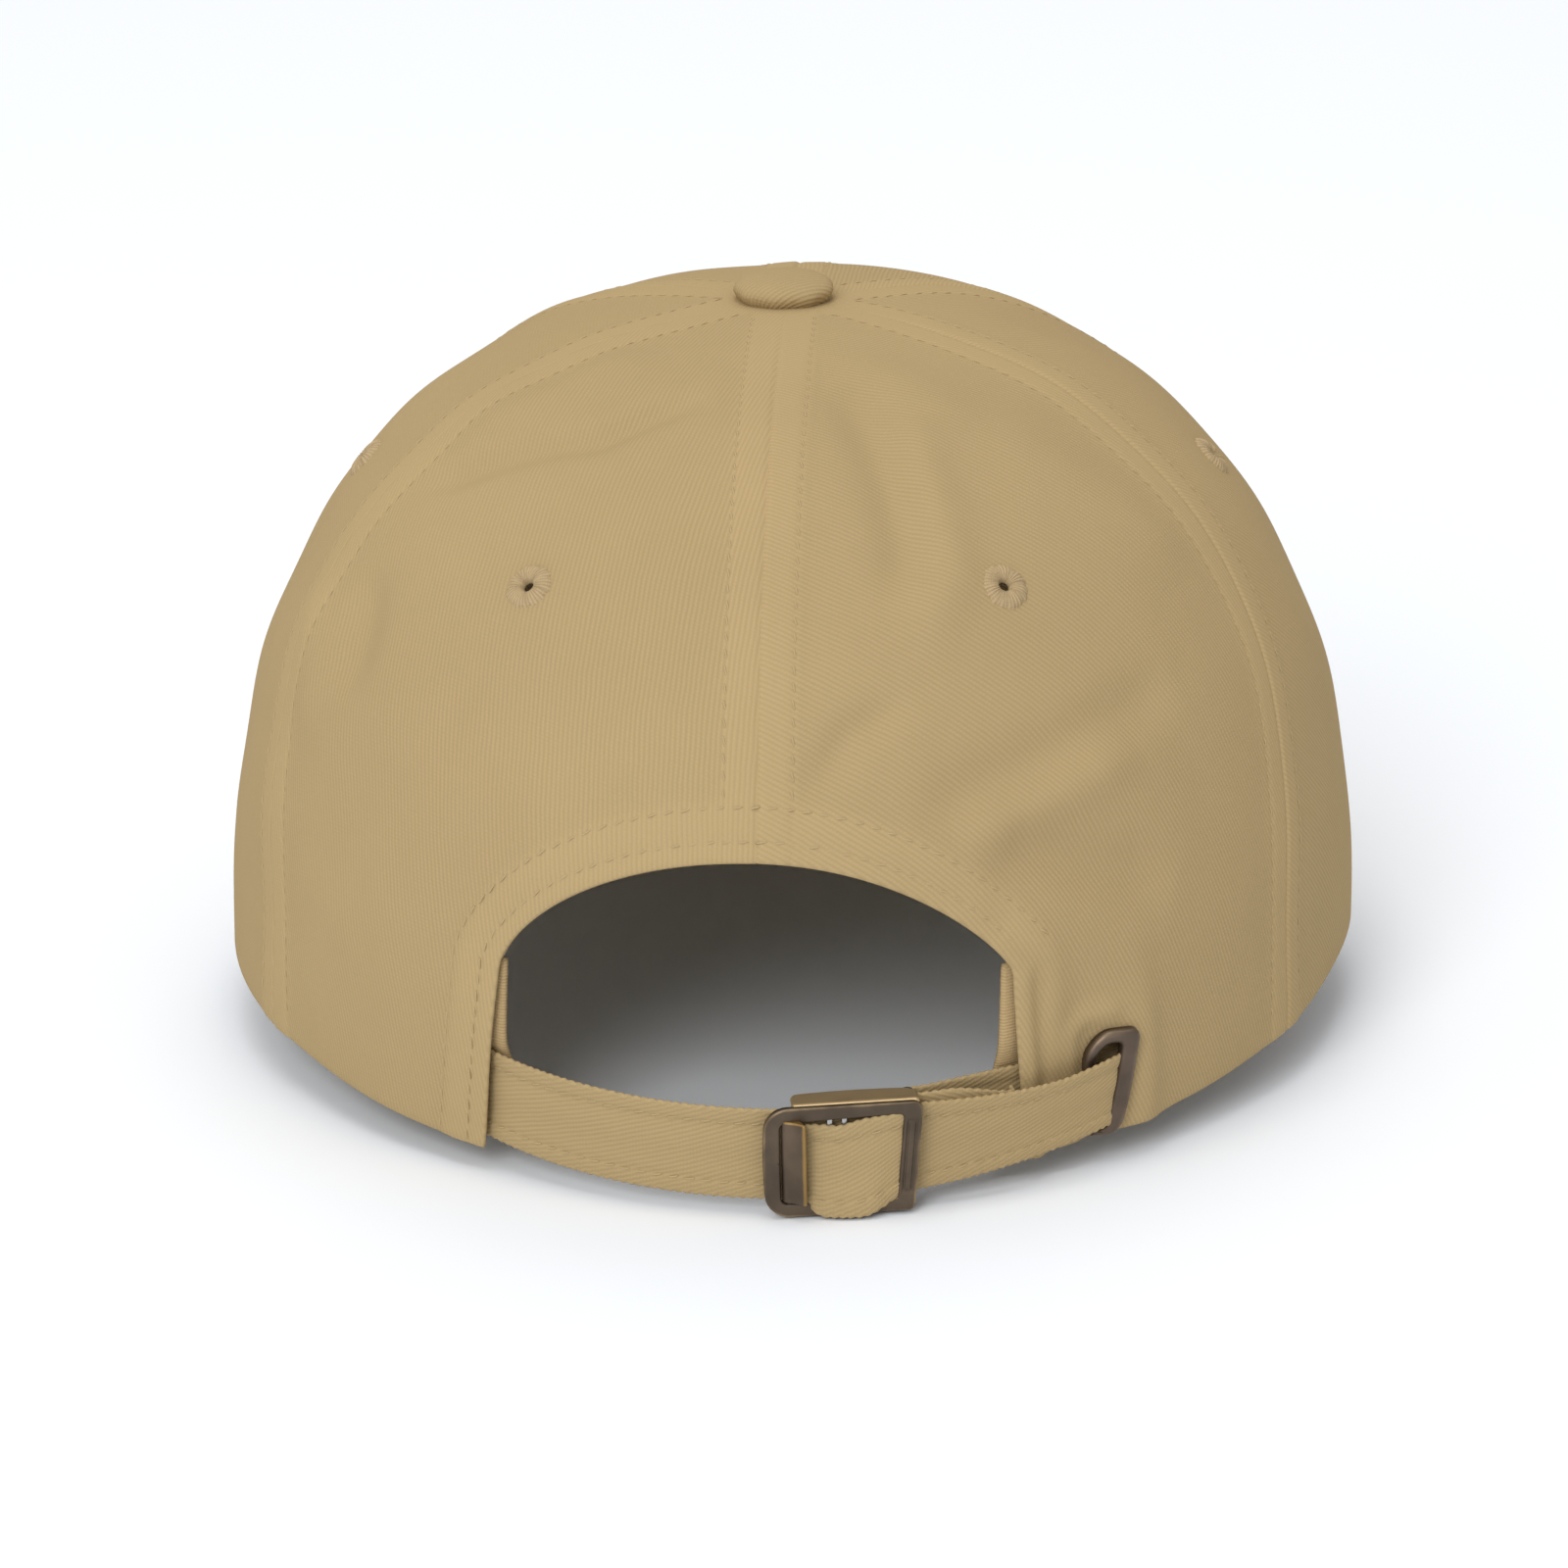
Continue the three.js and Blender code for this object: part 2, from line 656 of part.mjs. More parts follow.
function addBuckle() {
  const buckle = new THREE.Group();
  const spot = strapPlan(BUCKLE.bearing, STRAP.radius);
  buckle.position.set(spot.x, spot.y, BUCKLE.height);
  buckle.rotation.z = BUCKLE.bearing;
  cap.add(buckle);

  const front = BUCKLE.plateBack + BUCKLE.plate;
  const window = roundedBox(
    -BUCKLE.windowRight, BUCKLE.windowLeft, -BUCKLE.windowHalfHeight, BUCKLE.windowHalfHeight, 0.8, 3);
  const plate = upright(frameOutline(), BUCKLE.plateBack, front, [window]);
  const high = BUCKLE.flangeHalfHeight;
  const low = high - BUCKLE.flange;
  const pinX = BUCKLE.leverPin.x;
  const added = [];
  for (const side of [-1, 1]) {
    const [z0, z1] = side > 0 ? [low, high] : [-high, -low];
    added.push(block(-BUCKLE.right + 0.4, BUCKLE.flangeLeft, front - BUCKLE.flangeDepth, front - 0.3, z0, z1));
    const [e0, e1] = side > 0 ? [6.75, 8.2] : [-8.2, -6.75];
    added.push(block(pinX - 1.4, pinX + 1.7, 0.35, front, e0, e1));
  }
  const drop = BUCKLE.loopPinX ** 2 / (2 * STRAP.radius);
  const loopPinY = -drop - BUCKLE.loopPinDepth;
  const bores = [
    pin(BUCKLE.leverPinRadius + GAP, 8.0, pinX, BUCKLE.leverPin.y),
    pin(BUCKLE.loopPinRadius + GAP, 12, BUCKLE.loopPinX, loopPinY),
  ];
  add("buckle_frame", combine(plate, added, bores), metal(), buckle);
  add("buckle_lever_pin", pin(BUCKLE.leverPinRadius, 7.6, pinX, BUCKLE.leverPin.y), metal(), buckle);
  add("buckle_loop_pin", pin(BUCKLE.loopPinRadius, high - 0.1, BUCKLE.loopPinX, loopPinY), metal(), buckle);

  const bore = new THREE.Path();
  bore.absarc(pinX, BUCKLE.leverPin.y, BUCKLE.leverPinRadius + GAP, 0, 2 * Math.PI, true);
  const profile = new THREE.Shape(leverOutline());
  profile.holes = [bore];
  const reach = BUCKLE.windowHalfHeight - GAP;
  const lever = new THREE.ExtrudeGeometry(profile, { depth: 2 * reach, bevelEnabled: false, curveSegments: 8 });
  add("buckle_lever", lever.translate(0, 0, -reach), metal(), buckle);

  const behind = -STRAP.thickness / 2 - GAP;
  const backPlate = block(-2.4, 2.6, behind - 0.9, behind, -low + GAP, low - GAP);
  const tabs = [-1.1, 1.1].map((x) => block(x - 0.5, x + 0.5, behind - 0.2, 0.7, 7.65, low - GAP));
  add("buckle_back_plate", combine(backPlate, tabs), metal(COLOURS.steel), buckle);
}

addCrown();
addSeamTapes();
addArchFacing();
addSweatband();
addButton();
addVisor();
addLongStrap();
addShortStrap();
addGrommet();
addBuckle();

// The cap stands on the sides of its visor and on its buckle, with its box centred on the origin.
const STANDING_TILT = degrees(3.3);
cap.rotation.x = -STANDING_TILT;
cap.updateMatrixWorld(true);
const box = new THREE.Box3().setFromObject(cap, true);
const middle = box.getCenter(new THREE.Vector3());
cap.position.set(-middle.x, -middle.y, -box.min.z);

export default cap;
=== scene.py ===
import json
import math
import bpy
import numpy as np
from mathutils import Matrix, Vector

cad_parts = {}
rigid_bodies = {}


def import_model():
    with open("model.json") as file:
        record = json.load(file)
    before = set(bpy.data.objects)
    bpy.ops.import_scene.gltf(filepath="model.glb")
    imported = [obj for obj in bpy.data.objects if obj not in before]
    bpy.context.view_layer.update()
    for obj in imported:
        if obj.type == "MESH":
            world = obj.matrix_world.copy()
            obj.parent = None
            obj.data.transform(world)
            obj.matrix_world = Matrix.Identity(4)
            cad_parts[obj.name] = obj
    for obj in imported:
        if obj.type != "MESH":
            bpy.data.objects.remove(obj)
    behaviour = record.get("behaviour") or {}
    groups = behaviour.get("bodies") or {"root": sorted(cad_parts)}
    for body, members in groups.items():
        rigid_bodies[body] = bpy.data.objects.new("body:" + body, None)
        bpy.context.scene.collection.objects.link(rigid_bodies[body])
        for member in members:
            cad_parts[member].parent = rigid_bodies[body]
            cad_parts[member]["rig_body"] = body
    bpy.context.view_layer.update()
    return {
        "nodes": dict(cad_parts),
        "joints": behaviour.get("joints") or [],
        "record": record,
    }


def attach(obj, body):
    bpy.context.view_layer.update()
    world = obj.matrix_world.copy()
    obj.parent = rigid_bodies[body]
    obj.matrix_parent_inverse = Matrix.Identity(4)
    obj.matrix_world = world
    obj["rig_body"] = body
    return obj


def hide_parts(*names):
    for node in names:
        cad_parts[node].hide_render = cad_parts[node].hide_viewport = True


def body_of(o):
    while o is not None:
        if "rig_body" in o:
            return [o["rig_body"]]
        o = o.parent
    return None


# The looks of a khaki six-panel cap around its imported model. Shapes are worked out in the
# cap's own frame, in millimetres: the head opening is level, +Z is up, the strap is toward +Y
# and the wearer's right is toward -X. An azimuth is 0 at the middle of the back and grows
# toward the wearer's right; a level is 0 at the rim and 1 at the top of the crown.

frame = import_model()
joints = {joint["name"]: joint for joint in frame["joints"]}
rng = np.random.default_rng(7)

HALF_PI = math.pi / 2
MM = 0.001

# ---- the cap's frame ------------------------------------------------------------------------

HEAD_CENTRE = 3.25
mount = next(m for m in frame["record"]["mounts"] if m["name"] == "head_opening")
UP = -Vector(mount["axis"]).normalized()
SIDE = Vector((1, 0, 0))
BACK = UP.cross(SIDE)
ORIGIN = Vector(mount["pos_m"]) - BACK * HEAD_CENTRE * MM
AXES = np.array([SIDE, BACK, UP])


def to_row(points):
    """Points of the cap's frame, in millimetres, in the row's frame, in metres."""
    return np.asarray(points) @ AXES * MM + np.array(ORIGIN)


def to_cap(point):
    return AXES @ (np.array(point) - np.array(ORIGIN)) / MM


# ---- dimensions, as in the CAD ---------------------------------------------------------------

HALF_WIDTH, REAR, FRONT, HEIGHT, APEX = 90, 98.5, 92, 104.5, 11
SHOULDER, RISE, SIDE_RISE, FRONT_RISE, CLOTH = 0.8, 0.84, 6, 16, 0.8
TOP = 0.992
SEAM_RIM = {"side": math.radians(60), "front": math.radians(120)}
SEAM_TOP = {"side": math.radians(68.5), "front": math.radians(123)}
ARCH = dict(centre=1, half=38, flare=(2.0, 3.4), springing=30, rise=18.8,
            roundness=((2.0, 1.3), (2.15, 1.5)))
SLOT = dict(azimuth=math.radians(34.9), height=9.8, per_radian=93.6, half=7.2, left=3.1)
SLOT_RIGHT = (0.4, 2.5)
PUCKER, PUCKER_REACH, PUCKER_HEIGHT, SLOT_TWIST = 0.35, 7.4, 14, math.radians(19.3)
EYELET_LEVEL = 0.513
EYELETS = {"rear": math.radians(31.6), "side": math.radians(88), "front": math.radians(151)}
STRAP = dict(radius=66, middle=7.6, droop=6.6, half=7.2, tail=6.3, start=12, stop=39, cloth=0.8)
STRAP_AXIS = to_cap(joints["strap_slide"]["pos_m"])
BUCKLE_BEARING, BUCKLE_HEIGHT = math.radians(7.5), 7.5
VISOR = dict(half=88, front=77, rear=68, middle=-85, slope=math.tan(math.radians(12)), bend=142)
VISOR_END, VISOR_TURN = math.radians(123), math.radians(121)

# ---- materials ------------------------------------------------------------------------------


class Surface:
    """A material with one Principled shader, and short calls that add and link its nodes."""

    def __init__(self, name, **settings):
        self.material = bpy.data.materials.new(name)
        self.material.use_nodes = True
        self.tree = self.material.node_tree
        self.shader = next(n for n in self.tree.nodes if n.type == "BSDF_PRINCIPLED")
        for socket, value in settings.items():
            self.shader.inputs[socket.replace("_", " ")].default_value = value

    def node(self, kind, inputs, output=0, **settings):
        made = self.tree.nodes.new("ShaderNode" + kind)
        for key, value in settings.items():
            setattr(made, key, value)
        for key, value in inputs.items():
            if isinstance(value, bpy.types.NodeSocket):
                self.tree.links.new(value, made.inputs[key])
            else:
                made.inputs[key].default_value = value
        return made.outputs[output]

    def math(self, operation, a, b=0.0, c=0.0):
        return self.node("Math", {0: a, 1: b, 2: c}, operation=operation)

    def add(self, a, b):
        return self.math("ADD", a, b)

    def times(self, a, b):
        return self.math("MULTIPLY", a, b)

    def scaled(self, a, factor, offset):
        return self.math("MULTIPLY_ADD", a, factor, offset)

    def wave(self, vector, direction):
        return self.math("SINE", self.dot(vector, direction))

    def dot(self, vector, direction):
        return self.node("VectorMath", {0: vector, 1: direction}, 1, operation="DOT_PRODUCT")

    def noise(self, vector, scale, detail=2.0, rough=0.5):
        inputs = {"Vector": vector, "Scale": scale, "Detail": detail, "Roughness": rough}
        return self.node("TexNoise", inputs)

    def mix(self, factor, a, b):
        return self.node("Mix", {0: factor, 6: a, 7: b}, 2, data_type="RGBA")

    def ramp(self, factor, low, high):
        inputs = {"Value": factor, "From Min": low, "From Max": high}
        return self.node("MapRange", inputs, interpolation_type="SMOOTHSTEP")

    def place(self):
        return self.node("TexCoord", {}, 3)

    def cloth(self):
        return self.node("UVMap", {}, uv_map="Cloth")

    def finish(self, colour, height, strength, distance):
        self.tree.links.new(colour, self.shader.inputs["Base Color"])
        bump = self.node("Bump", {"Height": height, "Strength": strength, "Distance": distance})
        self.tree.links.new(bump, self.shader.inputs["Normal"])
        return self.material


def shade(colour, factor):
    return (*(c * factor for c in colour), 1.0)


KHAKI = (0.405, 0.300, 0.154)
REVERSE = (0.50, 0.46, 0.38)  # the twill's paler inner side


def twill(name, angle, colour=KHAKI, pitch=0.76, depth=0.00012, banded=False):
    """Cotton twill: diagonal wales at an angle from the cloth's grain, each a row of floats,
    tinted by their height: painted shade in the grooves, painted highlight on the floats.
    Banded cloth is pressed smoother where it lies double, along seams and hems, and is
    painted lighter there as a painted highlight of the raised band; its inner side is paler."""
    look = Surface(name, Roughness=0.95, Specular_IOR_Level=0.03)
    cloth, turn = look.cloth(), 2 * math.pi / (pitch * MM)
    c, s = math.cos(angle) * turn, math.sin(angle) * turn
    wander = look.times(look.noise(cloth, 110.0), 5.0)
    across = look.add(look.dot(cloth, (c, s, 0)), wander)
    steps = look.add(look.dot(cloth, (-s * 1.3, c * 1.3, 0)), look.times(across, 0.5))
    wale = look.scaled(look.math("SINE", across), 0.5, 0.5)
    floats = look.scaled(look.math("SINE", steps), 0.5, 0.5)
    patch = look.scaled(look.noise(cloth, 160.0, 3.0), 0.9, 0.55)
    height = look.times(look.times(wale, look.scaled(floats, 0.4, 0.6)), patch)
    height = look.scaled(look.noise(cloth, 2600.0, 3.0, 0.6), 0.6, height)
    tone = look.scaled(look.noise(look.place(), 38.0, 3.0), 0.5, -0.25)
    # The weave's colour follows its height: painted shade in the grooves and painted highlight on
    # the raised floats; the noise tone is the cloth's own uneven colour.
    value = look.add(look.scaled(look.ramp(height, 0.1, 1.3), 0.75, 0.12), tone)
    low, high = shade(colour, 0.88), shade(colour, 1.08)
    if not banded:
        return look.finish(look.mix(value, low, high), height, 0.5, depth)
    edge = look.node("UVMap", {}, uv_map="Edge")
    # Where the cloth lies double along seams and hems its bump is smoothed and its colour painted
    # lighter: a painted highlight of the raised band.
    double_layer_and_highlight = look.math("SUBTRACT", 1.0, look.ramp(look.dot(edge, (1.0, 0, 0)), 0.0045, 0.0062))
    height = look.times(height, look.scaled(double_layer_and_highlight, -0.35, 1.0))
    painted_shade_tint = look.mix(look.scaled(double_layer_and_highlight, 0.26, value), low, high)
    painted_shade_tint = look.mix(look.dot(edge, (0, 1.0, 0)), painted_shade_tint, (*REVERSE, 1.0))
    return look.finish(painted_shade_tint, height, 0.5, depth)


def ribbed(name, colour, pitch, angle=0.0):
    """A plain woven tape: fine ribs across, crossed by a fainter set."""
    look = Surface(name, Roughness=0.95, Specular_IOR_Level=0.04)
    cloth, turn = look.cloth(), 2 * math.pi / (pitch * MM)
    c, s = math.cos(angle) * turn, math.sin(angle) * turn
    cross = look.times(look.wave(cloth, (c * 1.3, s * 1.3, 0)), 0.12)
    height = look.scaled(look.wave(cloth, (-s, c, 0)), 0.4, cross)
    height = look.add(height, look.noise(cloth, 2200.0, 3.0))
    # The colour follows the ribs' height: painted shade in the hollows, painted highlight on the
    # ribs.
    painted_shade_tint = look.mix(look.ramp(height, -0.2, 1.1), shade(colour, 0.78), shade(colour, 1.08))
    return look.finish(painted_shade_tint, height, 0.5, 0.00012)


def thread(name, colour):
    """Sewing thread: twisted strands along each stitch, tinted along the twist as painted shade,
    and darkened as painted shade at its ends where it sinks into the cloth.
    """
    look = Surface(name, Roughness=0.8, Specular_IOR_Level=0.05)
    cloth = look.cloth()
    twist = look.wave(cloth, (9.0, 12.0, 0))
    # The ends darken where the thread sinks into the cloth: painted shade.
    painted_dip_shade = look.ramp(look.math("ABSOLUTE", look.dot(cloth, (1.0, 0, 0))), 0.66, 1.0)
    # Lighter and darker along the twist: painted shade of the strands.
    painted_shade_tint = look.mix(look.scaled(twist, 0.2, 0.5), shade(colour, 0.9), shade(colour, 1.08))
    return look.finish(look.mix(painted_dip_shade, painted_shade_tint, shade(colour, 0.55)), twist, 0.3, 0.00005)


def brass(name, base, worn_and_highlight, wear_and_highlight=0.5, rough=0.34):
    """Antique brass: a dark patina, bare metal showing where the mesh marks it: partly real
    scuffing at edges and ends, partly a painted highlight where they catch the light.
    """
    look = Surface(name, Metallic=0.8)
    blotch = look.noise(look.place(), 170.0, 3.0, 0.5)
    grain = look.noise(look.place(), 2400.0, 3.0, 0.7)
    rub_and_highlight = look.add(look.dot(look.cloth(), (1.0, 0, 0)), look.scaled(blotch, 0.9, -0.45))
    # Lighter metal where marked: partly scuffing, partly painted highlight.
    rubbed_and_highlit = look.times(look.ramp(rub_and_highlight, 0.25, 1.0), wear_and_highlight)
    patina = look.mix(look.ramp(blotch, 0.3, 0.7), shade(base, 0.82), shade(base, 1.2))
    look.tree.links.new(look.scaled(blotch, 0.2, rough), look.shader.inputs["Roughness"])
    return look.finish(look.mix(rubbed_and_highlit, patina, shade(worn_and_highlight, 1.0)), grain, 0.1, 0.00004)


CROWN_ANGLES = {"rear_left": 15.5, "rear_right": 43, "side_right": 38, "front_right": 34,
                "front_left": 26, "side_left": 22}
MATERIALS = {name: twill(f"twill_{name}", math.radians(a), banded=True)
             for name, a in CROWN_ANGLES.items()}
MATERIALS.update(
    strap=twill("twill_strap", math.radians(-69), pitch=0.72),
    visor=twill("twill_visor", math.radians(40)),
    button=twill("twill_button", math.radians(52), pitch=0.8, depth=0.00022),
    sweatband=ribbed("sweatband_cloth", (0.47, 0.34, 0.175), 0.47),
    tape=ribbed("seam_tape_cloth", (0.39, 0.29, 0.155), 0.6),
    seam_thread=thread("seam_thread", (0.455, 0.345, 0.185)),
    eyelet_thread=ribbed("eyelet_thread", (0.435, 0.327, 0.185), 0.4, HALF_PI),
    board=ribbed("board_plastic", (0.8, 0.79, 0.75), 2.0),
    # Each metal's second colour is its bare metal where marked: partly scuffing, partly painted
    # highlight.
    brass=brass("antique_brass", (0.108, 0.080, 0.056), (0.60, 0.44, 0.24), 0.9),
    lever=brass("antique_brass_lever", (0.115, 0.084, 0.058), (0.34, 0.21, 0.07), 0.9),
    grommet=brass("dark_bronze", (0.112, 0.083, 0.062), (0.36, 0.27, 0.17), 0.6),
    steel=brass("nickel_steel", (0.55, 0.55, 0.54), (0.8, 0.8, 0.78), 0.5, 0.2),
)

# ---- meshes ---------------------------------------------------------------------------------


def new_object(name, data):
    made = bpy.data.objects.new(name, data)
    bpy.context.scene.collection.objects.link(made)
    return made


def modify(made, kind, **settings):
    modifier = made.modifiers.new(kind.lower(), kind)
    for key, value in settings.items():
        setattr(modifier, key, value)


def piece(name, points, faces, material, cloth=None, body="cap", replaces=()):
    """A mesh in the cap's frame as a finished piece; cloth gives each point's place on the
    flat cloth, in millimetres, and then perhaps its distance to the nearest seam."""
    mesh = bpy.data.meshes.new(name)
    mesh.from_pydata(to_row(points).tolist(), [], [[int(i) for i in f] for f in faces])
    mesh.validate()
    if cloth is not None:
        corners = np.empty(len(mesh.loops), dtype=np.int32)
        mesh.loops.foreach_get("vertex_index", corners)
        cloth = np.asarray(cloth)[corners] * MM
        for layer, first in (("Cloth", 0), ("Edge", 2))[:cloth.shape[1] // 2]:
            uv = mesh.uv_layers.new(name=layer)
            uv.data.foreach_set("uv", cloth[:, first:first + 2].ravel().astype(np.float32))
    mesh.polygons.foreach_set("use_smooth", [True] * len(mesh.polygons))
    mesh.materials.append(MATERIALS[material])
    made = new_object(name, mesh)
    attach(made, body)
    if replaces:
        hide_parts(*replaces)
    return made


def grid_faces(columns, rows, wrap=False, close=False):
    """The faces of a grid of points stored column by column. It may wrap around to its first
    column, and each column may close on its first point."""
    count, steps = (columns if wrap else columns - 1), (rows if close else rows - 1)
    i, j = (part.ravel() for part in np.meshgrid(np.arange(count), np.arange(steps), indexing="ij"))
    a, b, ahead = i * rows, (i + 1) % columns * rows, (j + 1) % rows
    return np.stack([a + j, b + j, b + ahead, a + ahead], axis=1)


def unit(vectors):
    return vectors / np.maximum(np.linalg.norm(vectors, axis=-1, keepdims=True), 1e-9)


def bell(value, width):
    return np.exp(-((value / width) ** 2))


def round_off(share):
    """The rise of a quarter circle from 0 to 1."""
    return np.sqrt(1 - (1 - np.clip(share, 0, 1)) ** 2)


def circle(turn):
    return np.stack([np.cos(turn), np.sin(turn)], 1)


def pairs(u, v):
    """Two coordinates over a grid, as rows of two."""
    return np.stack(np.broadcast_arrays(u, v), -1).reshape(-1, 2)


def lengths(path):
    """How far along a path each of its points is."""
    return np.concatenate([[0], np.cumsum(np.linalg.norm(np.diff(path, axis=0), axis=1))])


def on_path(at, run, path):
    return np.stack([np.interp(at, run, column) for column in path.T], 1)


def tangents(normal):
    """The level direction across a normal, and the rising one."""
    right = unit(np.cross(np.array([0.0, 0.0, 1.0]), normal))
    return right, np.cross(normal, right)


def upright(turn):
    """The axes of a frame that stands upright, turned about Z."""
    c, s = math.cos(turn), math.sin(turn)
    return np.array([[c, s, 0], [-s, c, 0], [0, 0, 1]])


def shell(points, normals, faces, thickness, cloth, rounds=4):
    """Turns a sheet's outer face into a closed cloth of even thickness with rounded edges.
    Returns its points, faces and cloth coordinates."""
    used = np.unique(faces)
    renumber = np.full(len(points), -1)
    renumber[used] = np.arange(len(used))
    faces = renumber[faces]
    points, normals, cloth = points[used], normals[used], cloth[used]
    count = len(points)
    edges = np.concatenate([faces[:, [k, (k + 1) % 4]] for k in range(4)])
    key = edges[:, 0].astype(np.int64) * count + edges[:, 1]
    back = edges[:, 1].astype(np.int64) * count + edges[:, 0]
    rim = edges[~np.isin(key, back) & (edges[:, 0] != edges[:, 1])]
    outward = np.zeros_like(points)
    for ends in (0, 1):
        run = unit(points[rim[:, 1]] - points[rim[:, 0]])
        np.add.at(outward, rim[:, ends], np.cross(run, normals[rim[:, ends]]))
    for _ in range(6):
        outward = unit(outward)
        blend = outward * 2
        for ends in (0, 1):
            np.add.at(blend, rim[:, ends], outward[rim[:, 1 - ends]])
        outward = blend
    loop = np.unique(rim)
    outward = unit(outward[loop])
    layers, inner = [points], points - normals * thickness
    ring_of = np.full(count, -1)
    ring_of[loop] = np.arange(len(loop))
    middle = points[loop] - normals[loop] * thickness / 2
    for k in range(1, rounds):
        angle = math.pi * k / rounds
        lift = normals[loop] * thickness / 2 * math.cos(angle)
        layers.append(middle + lift + outward * thickness / 2 * math.sin(angle))
    layers.append(inner)
    starts = [0] + [count + k * len(loop) for k in range(rounds - 1)]
    last = count + (rounds - 1) * len(loop)

    def on_ring(k, vertex):
        if k == 0:
            return vertex
        return last + vertex if k == rounds else starts[k] + ring_of[vertex]

    out = [faces, faces[:, ::-1] + last]
    a, b = rim[:, 0], rim[:, 1]
    for k in range(rounds):
        corners = ((k, b), (k, a), (k + 1, a), (k + 1, b))
        out.append(np.stack([on_ring(*corner) for corner in corners], 1))
    sides = [cloth[loop]] * (rounds - 1)
    return np.concatenate(layers), np.concatenate(out), np.concatenate([cloth, *sides, cloth])


def grid_sheet(grid, out):
    """A grid's points, and its normals and faces, turned to look along a direction."""
    normals = unit(np.cross(np.gradient(grid, axis=0), np.gradient(grid, axis=1))).reshape(-1, 3)
    faces = grid_faces(*grid.shape[:2])
    if normals.mean(0) @ np.array(out) < 0:
        normals, faces = -normals, faces[:, ::-1]
    return grid.reshape(-1, 3), normals, faces


# ---- the crown's surface --------------------------------------------------------------------


def rim_rise(azimuth):
    forward = np.maximum(0, -np.cos(azimuth)) ** 4
    return SIDE_RISE * np.sin(azimuth) ** 2 + FRONT_RISE * forward


def crown_face(azimuth, level):
    reach = np.cos(level * HALF_PI) ** SHOULDER
    length = np.where(np.cos(azimuth) > 0, REAR, FRONT)
    x = -HALF_WIDTH * np.sin(azimuth) * reach
    y = length * np.cos(azimuth) * reach - APEX * (1 - reach)
    z = HEIGHT * np.sin(level * HALF_PI) ** RISE + rim_rise(azimuth) * (1 - level) ** 2
    return np.stack(np.broadcast_arrays(x, y, z), axis=-1)


def crown_normal(azimuth, level):
    step = 1e-3
    low, high = np.maximum(level - step, 0), np.minimum(level + step, 1 - step)
    around = crown_face(azimuth + step, level) - crown_face(azimuth - step, level)
    up = crown_face(azimuth, high) - crown_face(azimuth, low)
    return unit(np.cross(around, up))


def smooth(value, low, high):
    t = np.clip((value - low) / (high - low), 0, 1)
    return t * t * (3 - 2 * t)


def per_radian(azimuth, level, step=1e-3):
    """The crown's millimetres to a radian of azimuth."""
    span = crown_face(azimuth + step, level) - crown_face(azimuth - step, level)
    return np.linalg.norm(span, axis=-1) / (2 * step)


def level_at(azimuth, z):
    """The level where the crown's face stands at a height."""
    low, high = np.zeros_like(z), np.full_like(z, TOP)
    for _ in range(26):
        middle = (low + high) / 2
        above = crown_face(azimuth, middle)[..., 2] > z
        high, low = np.where(above, middle, high), np.where(above, low, middle)
    return (low + high) / 2


def locate(x, z):
    """The azimuth and level of the point of the crown's back with this x and z."""
    level = np.full_like(x, 0.1)
    for _ in range(20):
        azimuth = np.arcsin(np.clip(-x / (HALF_WIDTH * np.cos(level * HALF_PI) ** SHOULDER), -1, 1))
        level = level_at(azimuth, z)
    return azimuth, level


def seam_azimuth(kind, level):
    if kind in ("rear", "front"):
        return np.zeros_like(level) + (0 if kind == "rear" else math.pi)
    which, hand = kind.split("_")
    turn = SEAM_RIM[which] + (SEAM_TOP[which] - SEAM_RIM[which]) * smooth(level, 0, 0.45)
    return turn if hand == "right" else 2 * math.pi - turn


SEAMS = ["rear", "side_right", "front_right", "front", "front_left", "side_left"]
PANELS = ["rear_right", "side_right", "front_right", "front_left", "side_left", "rear_left"]


def turned(angle):
    return (angle + math.pi) % (2 * math.pi) - math.pi


def seam_distance(kind, azimuth, level):
    """The signed distance from a seam, in millimetres along the crown."""
    line = seam_azimuth(kind, level)
    return turned(azimuth - line) * per_radian(line, level)


def arch_outline(grow, foot=-15, steps=80):
    """The edge of the rear opening in x and z, moved outward."""
    half, rise, spring = ARCH["half"] + grow, ARCH["rise"] + grow, ARCH["springing"]
    angle = np.linspace(0, math.pi, steps + 1)
    c, s = np.cos(angle), np.sin(angle)
    across, up = (2 / np.where(c > 0, *pair) for pair in zip(*ARCH["roundness"][::-1]))
    x = ARCH["centre"] + half * np.sign(c) * np.abs(c) ** across
    z = spring + rise * s ** up
    legs = np.linspace(foot, spring, 24)[:-1]
    spread = (spring - legs) / spring
    far = np.stack([ARCH["centre"] + half + ARCH["flare"][1] * spread, legs], 1)
    near = np.stack([ARCH["centre"] - half - ARCH["flare"][0] * spread, legs], 1)[::-1]
    return np.concatenate([far, np.stack([x, z], 1), near])


def nearest(points, line):
    """The distance of points to a polyline, and the nearest points of it."""
    a, b = line[:-1], line[1:]
    run = b - a
    t = ((points[:, None] - a) * run).sum(-1) / np.maximum((run * run).sum(-1), 1e-12)
    spots = a + np.clip(t, 0, 1)[..., None] * run
    gaps = np.linalg.norm(points[:, None] - spots, axis=-1)
    best = gaps.argmin(1)
    pick = np.arange(len(points))
    return gaps[pick, best], spots[pick, best]


def inside(points, outline):
    x, y = points[:, 0:1], points[:, 1:2]
    a, b = outline, np.roll(outline, -1, axis=0)
    crosses = (a[:, 1] > y) != (b[:, 1] > y)
    height = np.where(b[:, 1] == a[:, 1], 1e-9, b[:, 1] - a[:, 1])
    at = a[:, 0] + (y - a[:, 1]) * (b[:, 0] - a[:, 0]) / height
    return (crosses & (x < at)).sum(1) % 2 == 1


